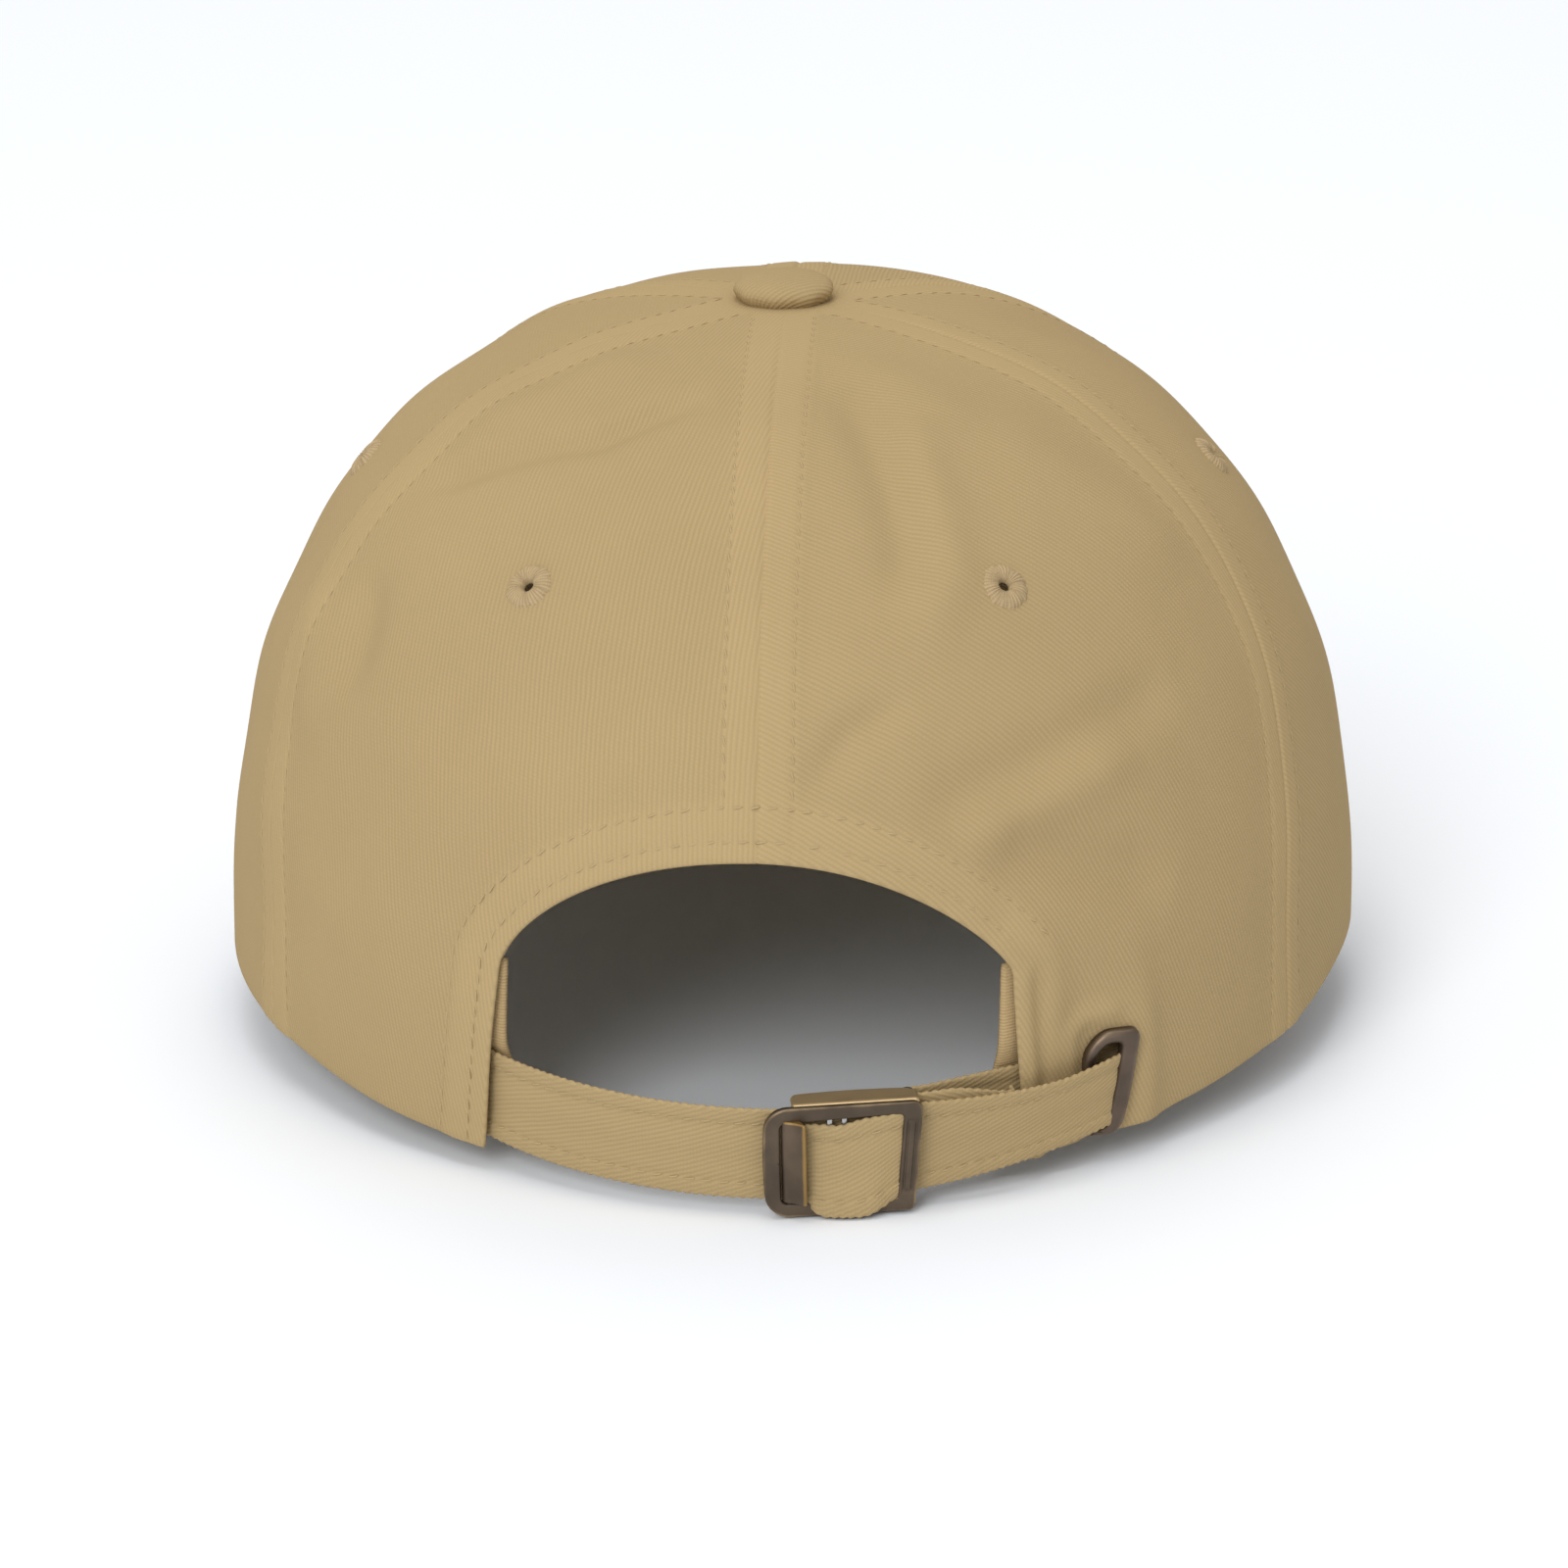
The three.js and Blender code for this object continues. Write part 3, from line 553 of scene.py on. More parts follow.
AROUND = 96.0  # millimetres of the crown's back for one radian of azimuth, near the rim


def plan(azimuth, level):
    """A flat map of the lower back of the crown: the way around it, and the height."""
    return np.stack([AROUND * turned(azimuth), crown_face(azimuth, level)[..., 2]], -1)


def arch_on_crown(grow, foot=0.0):
    x, z = arch_outline(grow, foot).T
    azimuth, level = locate(x, np.maximum(z, 0.0))
    return azimuth, level, np.stack([AROUND * azimuth, z], 1)


ARCH_EDGE = arch_on_crown(0.0, foot=-15)[2]
SLOT_HOLE = np.array([[SLOT["azimuth"] + dx / SLOT["per_radian"], SLOT["height"] + dz]
                      for dx, dz in ((-SLOT["left"], -SLOT["half"]), (SLOT_RIGHT[0], -SLOT["half"]),
                                     (SLOT_RIGHT[1], SLOT["half"]), (-SLOT["left"], SLOT["half"]),
                                     (-SLOT["left"], -SLOT["half"]))]) * (AROUND, 1)

# Soft folds of the washed cloth: points (azimuth in degrees, height), half width and lift.
FOLDS = [
    ([(-62, 85.5), (-55.5, 88.5), (-34, 95.5), (-16, 100.6)], 3.2, -1.6),
    ([(-64, 90), (-54, 98), (-43, 102.5)], 6.5, 1.0),
    ([(-60, 76), (-55, 67.5), (-52.5, 58)], 4.8, -1.7),
    ([(-70, 70), (-62, 60), (-59, 50)], 5.0, 0.9),
    ([(-44, 60), (-48, 44), (-50, 28)], 8.0, -0.5),
    ([(19, 101.4), (20.7, 95.4), (20.1, 86.2), (17, 79)], 4.4, -1.5),
    ([(30, 98), (27, 93.9), (25.5, 81.8), (17.9, 73.3)], 4.4, 1.2),
    ([(19, 102.9), (36, 100.5), (40, 96)], 5.0, 0.5),
    ([(41.8, 96), (54, 87.4), (59.2, 73.8)], 7.0, 0.8),
    ([(4.5, 56.5), (10, 64.8), (17.5, 69)], 3.0, -1.35),
    ([(15.5, 52.5), (21.6, 55.5), (34, 59.3), (50, 63.2)], 4.8, -1.45),
    ([(20, 48.5), (30.3, 53.0), (42.5, 57)], 4.2, 1.45),
    ([(21.5, 45.8), (27, 46.7), (34.2, 42.5), (44, 36.4)], 5.6, -1.8),
    ([(24.3, 38), (24.6, 31)], 2.4, 0.6),
    ([(22.4, 43.5), (26.3, 33)], 2.4, -0.7),
]
FOLD_REACH = 90  # no fold is felt further than this from its middle
fold_lines = []
for spots, width, lift in FOLDS:
    turn = np.radians([a for a, _ in spots])
    heights = np.array([z for _, z in spots], float)
    fold_lines.append((crown_face(turn, level_at(turn, heights)), width, lift))


def slot_pucker(azimuth, height):
    """The rear right panel is twisted around the strap's slot."""
    along = SLOT["per_radian"] * (turned(azimuth) - SLOT["azimuth"])
    fade = 1 / (1 + (along / PUCKER_REACH) ** 6)
    return PUCKER * along * fade / (1 + ((height - SLOT["height"]) / PUCKER_HEIGHT) ** 4)


SEAM_ROW = 5.0
HEM_ROWS = (2.5, 7.0)


def relief(azimuth, level):
    """How far the cloth stands off the crown's face: folds, seams, hems and the slot."""
    face = crown_face(azimuth, level)
    lift = slot_pucker(azimuth, face[..., 2])
    flat = face.reshape(-1, 3)
    total = lift.reshape(-1).copy()
    for line, width, amount in fold_lines:
        near = np.linalg.norm(flat - line.mean(0), axis=1) < FOLD_REACH
        if near.any():
            gap, spot = nearest(flat[near], line)
            ends = np.minimum(*(np.linalg.norm(spot - end, axis=1) for end in (line[0], line[-1])))
            total[near] += amount * bell(gap, width) * smooth(ends, -2.0, 9.0)
    x, y, z = flat.T
    # The washed cloth's slow ripples, its dip at the top and a bulge low on the left.
    total += 0.3 * np.sin(x / 9.1 + z / 13) * np.sin(y / 11.3 - z / 8.7)
    total += 0.15 * np.sin(x / 5.3 - z / 6.1 + y / 9)
    turn, height = (np.broadcast_to(part, lift.shape).ravel() for part in (azimuth, level))
    total -= 0.7 * smooth(height, 0.7, 0.93)
    total += 1.3 * bell(turned(turn) + 1.35, 0.3) * (1 - smooth(z, 4, 26))
    fade = 1 - smooth(height, 0.86, 0.965)
    for kind in SEAMS:
        gap = seam_distance(kind, turn, height)
        step = 0.16 * smooth(gap, -0.35, 0.35) * (1 - smooth(gap, 0.4, 5.0))
        gap = np.abs(gap)
        band = 0.26 * (1 - smooth(gap, 4.8, 6.6)) - 0.22 * bell(gap, 0.4)
        total += fade * (band + step - 0.2 * bell(gap - SEAM_ROW, 0.5))
    back = (np.abs(turned(turn)) < 1.0) & (z < 70)
    if back.any():
        spots = plan(turn[back], height[back])
        gap, _ = nearest(spots, ARCH_EDGE)
        rolled = smooth(spots[:, 0], 5, 25) * (1 - smooth(z[back], 26, 34))
        rows = sum(bell(gap - row, 0.5) for row in HEM_ROWS)
        hem = (0.45 * (1 - smooth(gap, 6.8, 8.8)) - 0.22 * rows) * (1 - rolled)
        roll = bell(gap - 1.3, 1.5) - 0.9 * bell(gap - 4.2, 1.2)
        from_slot, _ = nearest(spots, SLOT_HOLE)
        slot_at = AROUND * SLOT["azimuth"]
        before = 1 - smooth(spots[:, 0], slot_at - 1, slot_at + 3)
        total[back] += hem + 0.75 * roll * rolled + 0.9 * bell(from_slot - 3.6, 1.7) * before
    return total.reshape(lift.shape)


def edge_distance(azimuth, level):
    """The distance to the nearest seam or hem; a hem's is scaled to the band of a seam."""
    gap = np.min([np.abs(seam_distance(kind, azimuth, level)) for kind in SEAMS], axis=0)
    back = (np.abs(turned(azimuth)) < 1.0) & (level < 0.5)
    if back.any():
        to_arch, _ = nearest(plan(azimuth[back], level[back]), ARCH_EDGE)
        gap[back] = np.minimum(gap[back], 0.7 * to_arch)
    return gap


def on_crown(azimuth, level):
    """Points on the cloth's face, and the way out from it there."""
    normal = crown_normal(azimuth, level)
    return crown_face(azimuth, level) + normal * relief(azimuth, level)[..., None], normal


# ---- panels ---------------------------------------------------------------------------------

fine = np.linspace(0, TOP, 500)
arc = lengths(crown_face(0.0, fine))
EDGE_STEPS = np.array([0, 0.25, 0.5, 0.8, 1.2, 1.8, 2.6, 3.4, 4.1, 4.6, 5.0, 5.4, 5.9, 6.5, 7.4])


def panel_grid(name, spacing):
    """Azimuths and levels of a panel's points, crowded along its seams."""
    index = PANELS.index(name)
    levels = np.interp(np.linspace(0, arc[-1], int(arc[-1] / spacing)), arc, fine)
    columns = []
    for level in levels:
        left = seam_azimuth(SEAMS[index], np.array(level))
        last = index == len(PANELS) - 1
        right = 2 * math.pi if last else seam_azimuth(SEAMS[index + 1], np.array(level))
        turn = np.linspace(left, right, 60)
        run = lengths(crown_face(turn, level))
        width = run[-1]
        near = EDGE_STEPS * min(1.0, 0.4 * width / EDGE_STEPS[-1])
        between = np.linspace(near[-1], width - near[-1], int(90 / spacing))[1:-1]
        columns.append(np.interp(np.concatenate([near, between, width - near[::-1]]), run, turn))
    azimuth = np.array(columns).T
    return azimuth, np.broadcast_to(levels, azimuth.shape).copy()


DRAWN, DRAWN_FROM = 0.0114, 27  # how strongly the cloth is drawn to the slot, and until where


def cloth_place(points, centre_turn, name, centre_level=0.45, radius=95.0):
    """Where points of a panel lie on its flat cloth, unrolled about the panel's centre."""
    right, up = tangents(crown_normal(centre_turn, centre_level))
    away = points - crown_face(centre_turn, centre_level)
    chord = np.linalg.norm(away, axis=-1, keepdims=True)
    length = 2 * radius * np.arcsin(np.clip(chord / (2 * radius), 0, 1))
    flat = unit(np.stack([away @ right, away @ up], -1)) * length
    if name == "rear_right":
        # The cloth is drawn steeper toward the slot, at the panel's lower outer corner.
        toward = (flat[:, 0] - flat[:, 1]) / math.sqrt(2)
        pulled = np.clip(toward, 0, DRAWN_FROM)
        shift = DRAWN * (pulled ** 2 / 2 + DRAWN_FROM * np.maximum(toward - DRAWN_FROM, 0))
        angle = math.radians(CROWN_ANGLES[name])
        flat += shift[:, None] * np.array([math.cos(angle), math.sin(angle)])
    return flat


def cut(faces, azimuth, level, outline):
    """Removes the faces inside an outline of the flat map and draws the points left along
    the cut onto it."""
    spots = plan(azimuth, level)
    back = np.abs(turned(azimuth)) < 1.2
    gone = inside(spots[faces].mean(1), outline) & back[faces].all(1)
    edge = np.intersect1d(faces[~gone], faces[gone])
    if len(edge):
        _, drawn = nearest(spots[edge], outline)
        whole_turn = 2 * math.pi if azimuth[edge].mean() > math.pi else 0
        azimuth[edge] = drawn[:, 0] / AROUND + whole_turn
        level[edge] = level_at(azimuth[edge], np.maximum(drawn[:, 1], rim_rise(azimuth[edge])))
    return faces[~gone]


# Each panel's cloth is a gore that narrows to the button.
EYELET_HOLE, EYELET_CURVE = 2.3, 85.0  # the hole's radius, and that of the crown around it
INNER_FACE = 1000  # in place of a hem's mark on the cloth's inner side: past every ramp


def add_panels():
    for name in PANELS:
        rear = name.startswith("rear")
        azimuth, level = panel_grid(name, 1.0 if rear else 1.5)
        faces = grid_faces(*azimuth.shape)
        azimuth, level = azimuth.ravel(), level.ravel()
        if rear:
            faces = cut(faces, azimuth, level, ARCH_EDGE)
        if name == "rear_right":
            faces = cut(faces, azimuth, level, SLOT_HOLE)
        middle = EYELETS[name.split("_")[0]]
        middle = middle if name.endswith("right") else 2 * math.pi - middle
        points, normals = on_crown(azimuth, level)
        hole = crown_face(middle, EYELET_LEVEL)
        faces = faces[np.linalg.norm(points[faces].mean(1) - hole, axis=1) > EYELET_HOLE]
        edge = edge_distance(azimuth, level)
        cloth = cloth_place(crown_face(azimuth, level), middle, name)
        cloth = np.concatenate([cloth, np.stack([edge, 0 * edge], -1)], 1)
        made = shell(points, normals, faces, CLOTH, cloth)
        made[2][-len(np.unique(faces)):, 3] = INNER_FACE
        panel = piece(f"crown_{name}", made[0], made[1], name, made[2],
                      replaces=[f"panel_{name}"])
        add_eyelet(name, middle)


def add_eyelet(name, middle):
    """A ring of thread worked over the hole's edge."""
    around, across, count = 180, 15, 30
    turn = np.linspace(0, 2 * math.pi, around, endpoint=False)
    steps = np.linspace(0, 1, across)
    radius = 0.8 + 2.95 * steps
    dome = np.sin(math.pi * np.clip(steps * 0.9 + 0.1, 0, 1)) ** 0.7 - 0.12
    ridges = np.abs(np.sin(turn * count / 2 + 0.5 * np.sin(3 * turn)))
    ragged = 0.14 * np.sin(turn * count / 2 + 1) + 0.1 * np.sin(7 * turn)
    reach = radius[None] + ragged[:, None] * steps[None] ** 4
    lift = dome[None] * (0.8 + 0.2 * ridges[:, None]) - 0.6 * (steps[None] < 0.01)
    centre = crown_face(middle, EYELET_LEVEL)
    normal = crown_normal(middle, EYELET_LEVEL)
    right, up = tangents(normal)
    base = relief(np.array([middle]), np.array([EYELET_LEVEL]))[0]
    flat = reach[..., None] * (circle(turn) @ np.stack([right, up]))[:, None]
    # The ring lies on the crown's curve, so its rim sinks as the cloth falls away.
    sink = -(reach ** 2) / (2 * EYELET_CURVE)
    points = centre + flat + (lift + base + sink)[..., None] * normal
    piece(f"eyelet_ring_{name}", points.reshape(-1, 3), grid_faces(around, across, wrap=True),
          "eyelet_thread", pairs(turn[:, None] * 2.2, reach),
          replaces=[f"eyelet_{name}"])


# ---- stitches -------------------------------------------------------------------------------


def stitch_shape(length, radius, sides=7, rings=7):
    """A short raised stitch along X that bows up out of the cloth, as points and faces."""
    s = np.linspace(-1, 1, rings)[:, None]
    turn = np.linspace(0, 2 * math.pi, sides, endpoint=False)
    girth = radius * np.sqrt(np.maximum(1 - s ** 4, 0.04))
    x = np.broadcast_to(s * length / 2, (rings, sides))
    y = girth * np.cos(turn)
    z = girth * np.sin(turn) * 0.8 - s ** 2 * radius * 1.1
    points = np.stack([x, y, z], -1).reshape(-1, 3)
    return points, grid_faces(rings, sides, close=True), pairs(s, turn)


def stitch_row(path, normals, pitch=2.6, fill=0.76, radius=0.16, lean=0.2, lift=0.09):
    """Stitches along a path of points: their points, faces and cloth places."""
    run = lengths(path)
    count = max(int(run[-1] / pitch), 1)
    at = (np.arange(count) + 0.5) * run[-1] / count + rng.uniform(-0.08, 0.08, count)
    spot, out = on_path(at, run, path), unit(on_path(at, run, normals))
    along = unit(on_path(at + 0.4, run, path) - on_path(at - 0.4, run, path))
    side = unit(np.cross(out, along))
    tilt = (lean + rng.uniform(-0.06, 0.06, count))[:, None]
    along, side = unit(along + side * tilt), unit(side - along * tilt)
    shape, faces, cloth = stitch_shape(pitch * fill, radius)
    points = (spot + out * lift)[:, None] + np.einsum("pk,knc->npc", shape, [along, side, out])
    shift = (np.arange(count) * len(shape))[:, None, None]
    return points.reshape(-1, 3), (faces[None] + shift).reshape(-1, 4), np.tile(cloth, (count, 1))


def stitch_piece(name, rows, body="cap"):
    """Rows of stitches merged into one piece. A stitch's ends are at -1 and 1 in its cloth
    places, in metres."""
    starts = np.cumsum([0] + [len(row[0]) for row in rows])
    faces = np.concatenate([row[1] + start for row, start in zip(rows, starts)])
    points, cloth = (np.concatenate([row[k] for row in rows]) for k in (0, 2))
    return piece(name, points, faces, "seam_thread", cloth / MM, body=body)


def crown_row(azimuth, level, **settings):
    points, normals = on_crown(azimuth, level)
    return stitch_row(points, normals, **settings)


def add_crown_stitches():
    rows = []
    for kind in SEAMS:
        low = 0.318 if kind == "rear" else 0.012
        level = np.interp(np.linspace(np.interp(low, fine, arc), arc[-1] - 9, 130), arc, fine)
        line = seam_azimuth(kind, level)
        for hand in (-1, 1):
            row = line + hand * SEAM_ROW / per_radian(line, level)
            rows.append(crown_row(row, level, lean=0.22))
    for grow in HEM_ROWS:
        azimuth, level, _ = arch_on_crown(grow, foot=1.5)
        sewn = (turned(azimuth) < 0.2) | (crown_face(azimuth, level)[..., 2] > 34)
        rows.append(crown_row(azimuth[sewn], level[sewn], pitch=2.5))
    stitch_piece("crown_stitches", rows)


# ---- inside: tapes, facing and sweatband -------------------------------------------------------


def band_inside(name, azimuth, level, depth, thickness, material, cloth, replaces):
    """A cloth inside the crown; azimuth and level are grids, depth is below the crown's face."""
    turn, height = azimuth.ravel(), level.ravel()
    drop = depth - slot_pucker(turn, crown_face(turn, height)[..., 2])
    normals = crown_normal(turn, height)
    points = crown_face(turn, height) - normals * np.broadcast_to(drop, turn.shape)[..., None]
    made = shell(points, normals, grid_faces(*azimuth.shape), thickness, cloth, rounds=3)
    return piece(name, made[0], made[1], material, made[2], replaces=replaces)


TAPE_DEPTH = 1.45


def add_tapes():
    for kind in SEAMS:
        low = 0.36 if kind == "rear" else 0.02
        level = np.linspace(low, 0.92, 70)
        line = seam_azimuth(kind, level)
        across = np.array([-6, -5.4, -4, -2, 0, 2, 4, 5.4, 6.0])[:, None]
        azimuth = line + across / per_radian(line, level)
        depth = TAPE_DEPTH - 0.25 * bell(np.abs(across) - 5, 0.7) + 0 * level
        name = kind if kind in ("rear", "front") else kind.replace("side", "rear")
        tape = band_inside(f"tape_{name}", azimuth, np.broadcast_to(level, azimuth.shape),
                           depth.ravel(), 0.5, "tape",
                           pairs(across, np.interp(level, fine, arc)), [f"seam_tape_{name}"])
        path = crown_face(line, level) - crown_normal(line, level) * TAPE_DEPTH


def add_facing():
    """The turned-in hem of the rear opening: a band that follows its edge inside."""
    grows = np.linspace(0.3, 8.0, 9)
    lines = [arch_on_crown(grow, foot=26.5) for grow in grows]
    azimuth, level = (np.array([line[k] for line in lines]) for k in (0, 1))
    cloth = pairs(grows[:, None], np.linspace(0, 125, azimuth.shape[1]))
    facing = band_inside("arch_hem_inside", azimuth[::-1], level[::-1], 1.35, 0.5, "tape",
                         cloth, ["arch_facing"])


BOWS = ((-39.5, 5.2, 9.5), (46.0, 3.6, 9.0))


def add_sweatband():
    turn = np.radians(np.linspace(22.9, 360 - 26.1, 260))
    level = np.concatenate([np.linspace(0.002, 0.012, 4), np.linspace(0.02, 0.135, 12),
                            [0.141, 0.145]])
    azimuth, height = np.meshgrid(turn, level, indexing="ij")
    at_start = 1 - smooth(azimuth, turn[0], turn[0] + 0.2)
    azimuth = azimuth + math.radians(1.4) * (height / level[-1]) * at_start
    bow = sum(depth * bell(turned(azimuth - math.radians(at)), math.radians(width))
              for at, depth, width in BOWS)
    rise = np.clip((height - 0.004) / 0.14, 0, 1)
    soft = 0.25 * np.sin(azimuth * 17) * np.sin(rise * math.pi) + 0.3 * np.sin(rise * math.pi)
    run = lengths(crown_face(turn, 0.07))
    cloth = pairs(run[:, None], np.interp(level, fine, arc))
    from_end = np.minimum(azimuth - turn[0], turn[-1] - azimuth)
    near = 1 - smooth(from_end, math.radians(3), math.radians(12))
    # Above the straps its ends lie close behind the hem.
    close = near * smooth(crown_face(azimuth, height)[..., 2], 13, 19)
    points_depth = (2.5 + (bow + soft) * (1 - close) - 1.3 * close).ravel()
    band = band_inside("sweatband_cloth", azimuth, height, points_depth, 1.2, "sweatband",
                       cloth, ["sweatband"])


# ---- button ---------------------------------------------------------------------------------


def add_button():
    """A dome covered in cloth, gathered under its rim."""
    around, rings = 96, 26
    turn = np.linspace(0, 2 * math.pi, around, endpoint=False)
    t = np.linspace(0, 1, rings)
    swing = HALF_PI * np.minimum(t * 1.15, 1)
    under = smooth(t, 0.82, 1.0)
    radius = 7.95 * np.sin(swing) ** 0.85 - 1.6 * under
    height = 2.9 * np.cos(swing) ** 0.7 - 1.9 * under
    pleat = 1 + 0.014 * np.sin(turn[:, None] * 9 + 1) * smooth(t, 0.55, 1.0) \
        + 0.008 * np.sin(turn[:, None] * 23) * smooth(t, 0.7, 1.0)
    rho = radius[None] * pleat
    centre = crown_face(0.0, 1.0) + np.array([0.65, 0, 0.3])
    points = np.stack([rho * np.cos(turn)[:, None], rho * np.sin(turn)[:, None],
                       np.broadcast_to(height, rho.shape)], -1).reshape(-1, 3) + centre
    unrolled = np.concatenate([[0], np.cumsum(np.hypot(np.diff(radius), np.diff(height)))])
    cloth = np.stack([-unrolled * np.cos(turn)[:, None], unrolled * np.sin(turn)[:, None]], -1)
    piece("button_cloth", points, grid_faces(around, rings, wrap=True)[:, ::-1], "button",
          cloth.reshape(-1, 2), replaces=["button_cover"])


# ---- visor ----------------------------------------------------------------------------------


def visor_height(x, y):
    return FRONT_RISE + (y + FRONT) * VISOR["slope"] - x ** 2 / (2 * VISOR["bend"])


def visor_edge(along):
    turn = -VISOR_TURN + 2 * VISOR_TURN * along
    reach = np.where(np.cos(turn) > 0, VISOR["front"], VISOR["rear"])
    return np.stack([VISOR["half"] * np.sin(turn), VISOR["middle"] - reach * np.cos(turn)], -1)


def visor_root(along):
    """Where the visor meets the crown; its ends run on in under the hem."""
    azimuth = VISOR_END + (2 * math.pi - 2 * VISOR_END) * along
    depth = 0.7 + 1.1 * smooth(np.abs(along - 0.5), 0.36, 0.46)[..., None]
    point = crown_face(azimuth, 0.0) - crown_normal(azimuth, 0.0) * depth
    return point[..., :2]


def visor_points(along, inward, height):
    """Points at a distance in from the visor's edge and a height above its middle layer."""
    edge, root = visor_edge(along), visor_root(along)
    span = np.linalg.norm(root - edge, axis=-1, keepdims=True)
    spot = edge + (root - edge) * (inward[..., None] / span)
    z = visor_height(spot[..., 0], spot[..., 1]) + height
    return np.concatenate([spot, z[..., None]], -1)


VISOR_ROWS = [6.5 + 6.2 * k for k in range(7)]
VISOR_TOP, VISOR_BOTTOM, VISOR_EDGE_ROUND = 2.3, -1.4, 1.9
# The covers start and close up this far along the visor's edge from its two tips.
VISOR_TIP, VISOR_TIP_ROUND = 0.012, 0.006


def visor_surface(hand, along, inward):
    """The height of a visor cover: rounded to the edge and quilted between its stitch rows."""
    middle, half = (VISOR_TOP + VISOR_BOTTOM) / 2, (VISOR_TOP - VISOR_BOTTOM) / 2
    from_tip = (np.minimum(along, 1 - along) - VISOR_TIP) / VISOR_TIP_ROUND
    rounded = half * round_off(inward / VISOR_EDGE_ROUND) * round_off(from_tip)
    dips = sum(0.24 * bell(inward - row, 0.7) for row in VISOR_ROWS)
    swell = 0.12 * np.sin(inward / 6.2 * 2 * math.pi) ** 2
    return middle + hand * (rounded - dips * (inward > 1) + swell * smooth(inward, 3, 8))


def add_visor():
    rise = 1 - np.cos(np.linspace(0, HALF_PI, 7))
    tip, inner = VISOR_TIP + VISOR_TIP_ROUND * rise[:-1], VISOR_TIP + VISOR_TIP_ROUND
    along = np.concatenate([tip, np.linspace(inner, 1 - inner, 240), 1 - tip[::-1]])
    near = np.concatenate([VISOR_EDGE_ROUND * rise, np.arange(2.6, 52, 0.9)])
    span = np.linalg.norm(visor_root(along) - visor_edge(along), axis=-1)
    edge_part = near * np.minimum(1.0, span / near[-1])[:, None]
    rest = edge_part[:, -1:] + (span[:, None] - edge_part[:, -1:]) * np.linspace(0, 1, 30)[1:]
    inward = np.concatenate([edge_part, rest], 1)
    turn = np.broadcast_to(along[:, None], inward.shape)
    for hand, name, node in ((1, "top", "visor_cover_top"), (-1, "under", "visor_cover_bottom")):
        grid = visor_points(turn, inward, visor_surface(hand, turn, inward))
        points, normals, faces = grid_sheet(grid, (0, 0, hand))
        made = shell(points, normals, faces, 0.6, points[:, :2] * np.array([1, 1.02]), rounds=3)
        cover = piece(f"visor_{name}", made[0], made[1], "visor", made[2], replaces=[node])
        rows = []
        for row in VISOR_ROWS:
            reach = along[span > row + 3]
            reach = np.linspace(reach[0], reach[-1], 260)
            distance = np.full_like(reach, row)
            path = visor_points(reach, distance, visor_surface(hand, reach, distance))
            way = np.broadcast_to([0.0, 0.0, float(hand)], path.shape)
            rows.append(stitch_row(path, way, lean=0.0))
        stitch_piece(f"visor_{name}_stitches", rows)


# ---- straps ---------------------------------------------------------------------------------


def strap_point(bearing, radius, z):
    x = STRAP_AXIS[0] - radius * np.sin(bearing)
    y = STRAP_AXIS[1] + radius * np.cos(bearing)
    return np.stack(np.broadcast_arrays(x, y, z), -1)


def strap_middle(bearing):
    return STRAP["middle"] + STRAP["droop"] * (1 - np.cos(bearing))


HEM = 2.3


def strap_profile(across):
    """The rise of a strap's face: folded edges, dented along the rows of stitches."""
    inward = 1 - np.abs(across)
    edge = inward * STRAP["half"]
    fold = 0.2 * (1 - smooth(edge, HEM - 0.4, HEM + 0.5))
    return fold - 0.18 * bell(edge - HEM, 0.45) + 0.06 * np.sin(across * 7)


def scallop(run, side):
    """The small bumps of the overcast edge of a strap."""
    bump = np.sin(run * 2 * math.pi / 1.3 + np.sin(run / 3))
    return 0.1 * bump * np.abs(side) ** 8 * np.sign(side)


def hem_columns(across):
    """Which columns of a strap's grid its two rows of stitches follow."""
    shares = np.array([-1, 1]) * (1 - HEM / STRAP["half"])
    return [int(round(k)) for k in np.interp(shares, across, np.arange(len(across)))]


def add_long_strap():
    bearing = np.radians(np.linspace(-48, 57, 560))
    even = np.linspace(-1, 1, 33)
    across = np.sin(even * HALF_PI) * 0.35 + even * 0.65
    turn, side = np.meshgrid(bearing, across, indexing="ij")
    taper = smooth(turn, math.radians(STRAP["start"]), math.radians(STRAP["stop"]))
    half = STRAP["half"] + (STRAP["tail"] - STRAP["half"]) * taper
    run = STRAP["radius"] * turn
    radius = STRAP["radius"] + STRAP["cloth"] / 2 - 0.16 + strap_profile(side)
    z = strap_middle(turn) + side * (half - 0.35) + scallop(run, side)
    droop = np.clip((turn - math.radians(12)) / math.radians(24), 0, 1.1)
    z -= 1.7 * droop * (side + 1) / 2
    points = strap_point(turn, radius, z).reshape(-1, 3)
    normals = np.stack([-np.sin(turn), np.cos(turn), 0 * turn], -1).reshape(-1, 3)
    faces = grid_faces(*turn.shape)
    cloth = np.stack([run, side * half], -1).reshape(-1, 2)
    made = shell(points, normals, faces, STRAP["cloth"] - 0.1, cloth)
    strap = piece("strap_band", made[0], made[1], "strap", made[2], body="strap",
                  replaces=["strap_long"])
    # Near the slot the stitches are pressed into the cloth, so they pass under its loop.
    pressed = 0.1 * smooth(bearing, math.radians(32), math.radians(38))[:, None]
    rows = []
    for k in hem_columns(across):
        line, way = (part.reshape(*turn.shape, 3)[:, k] for part in (points, normals))
        rows.append(stitch_row(line - way * pressed, way, pitch=2.5))
    stitches = stitch_piece("strap_band_stitches", rows, body="strap")


# ---- the buckle's own frame -----------------------------------------------------------------

BUCKLE_SPOT = strap_point(BUCKLE_BEARING, STRAP["radius"], BUCKLE_HEIGHT)
BUCKLE_AXES = upright(BUCKLE_BEARING)


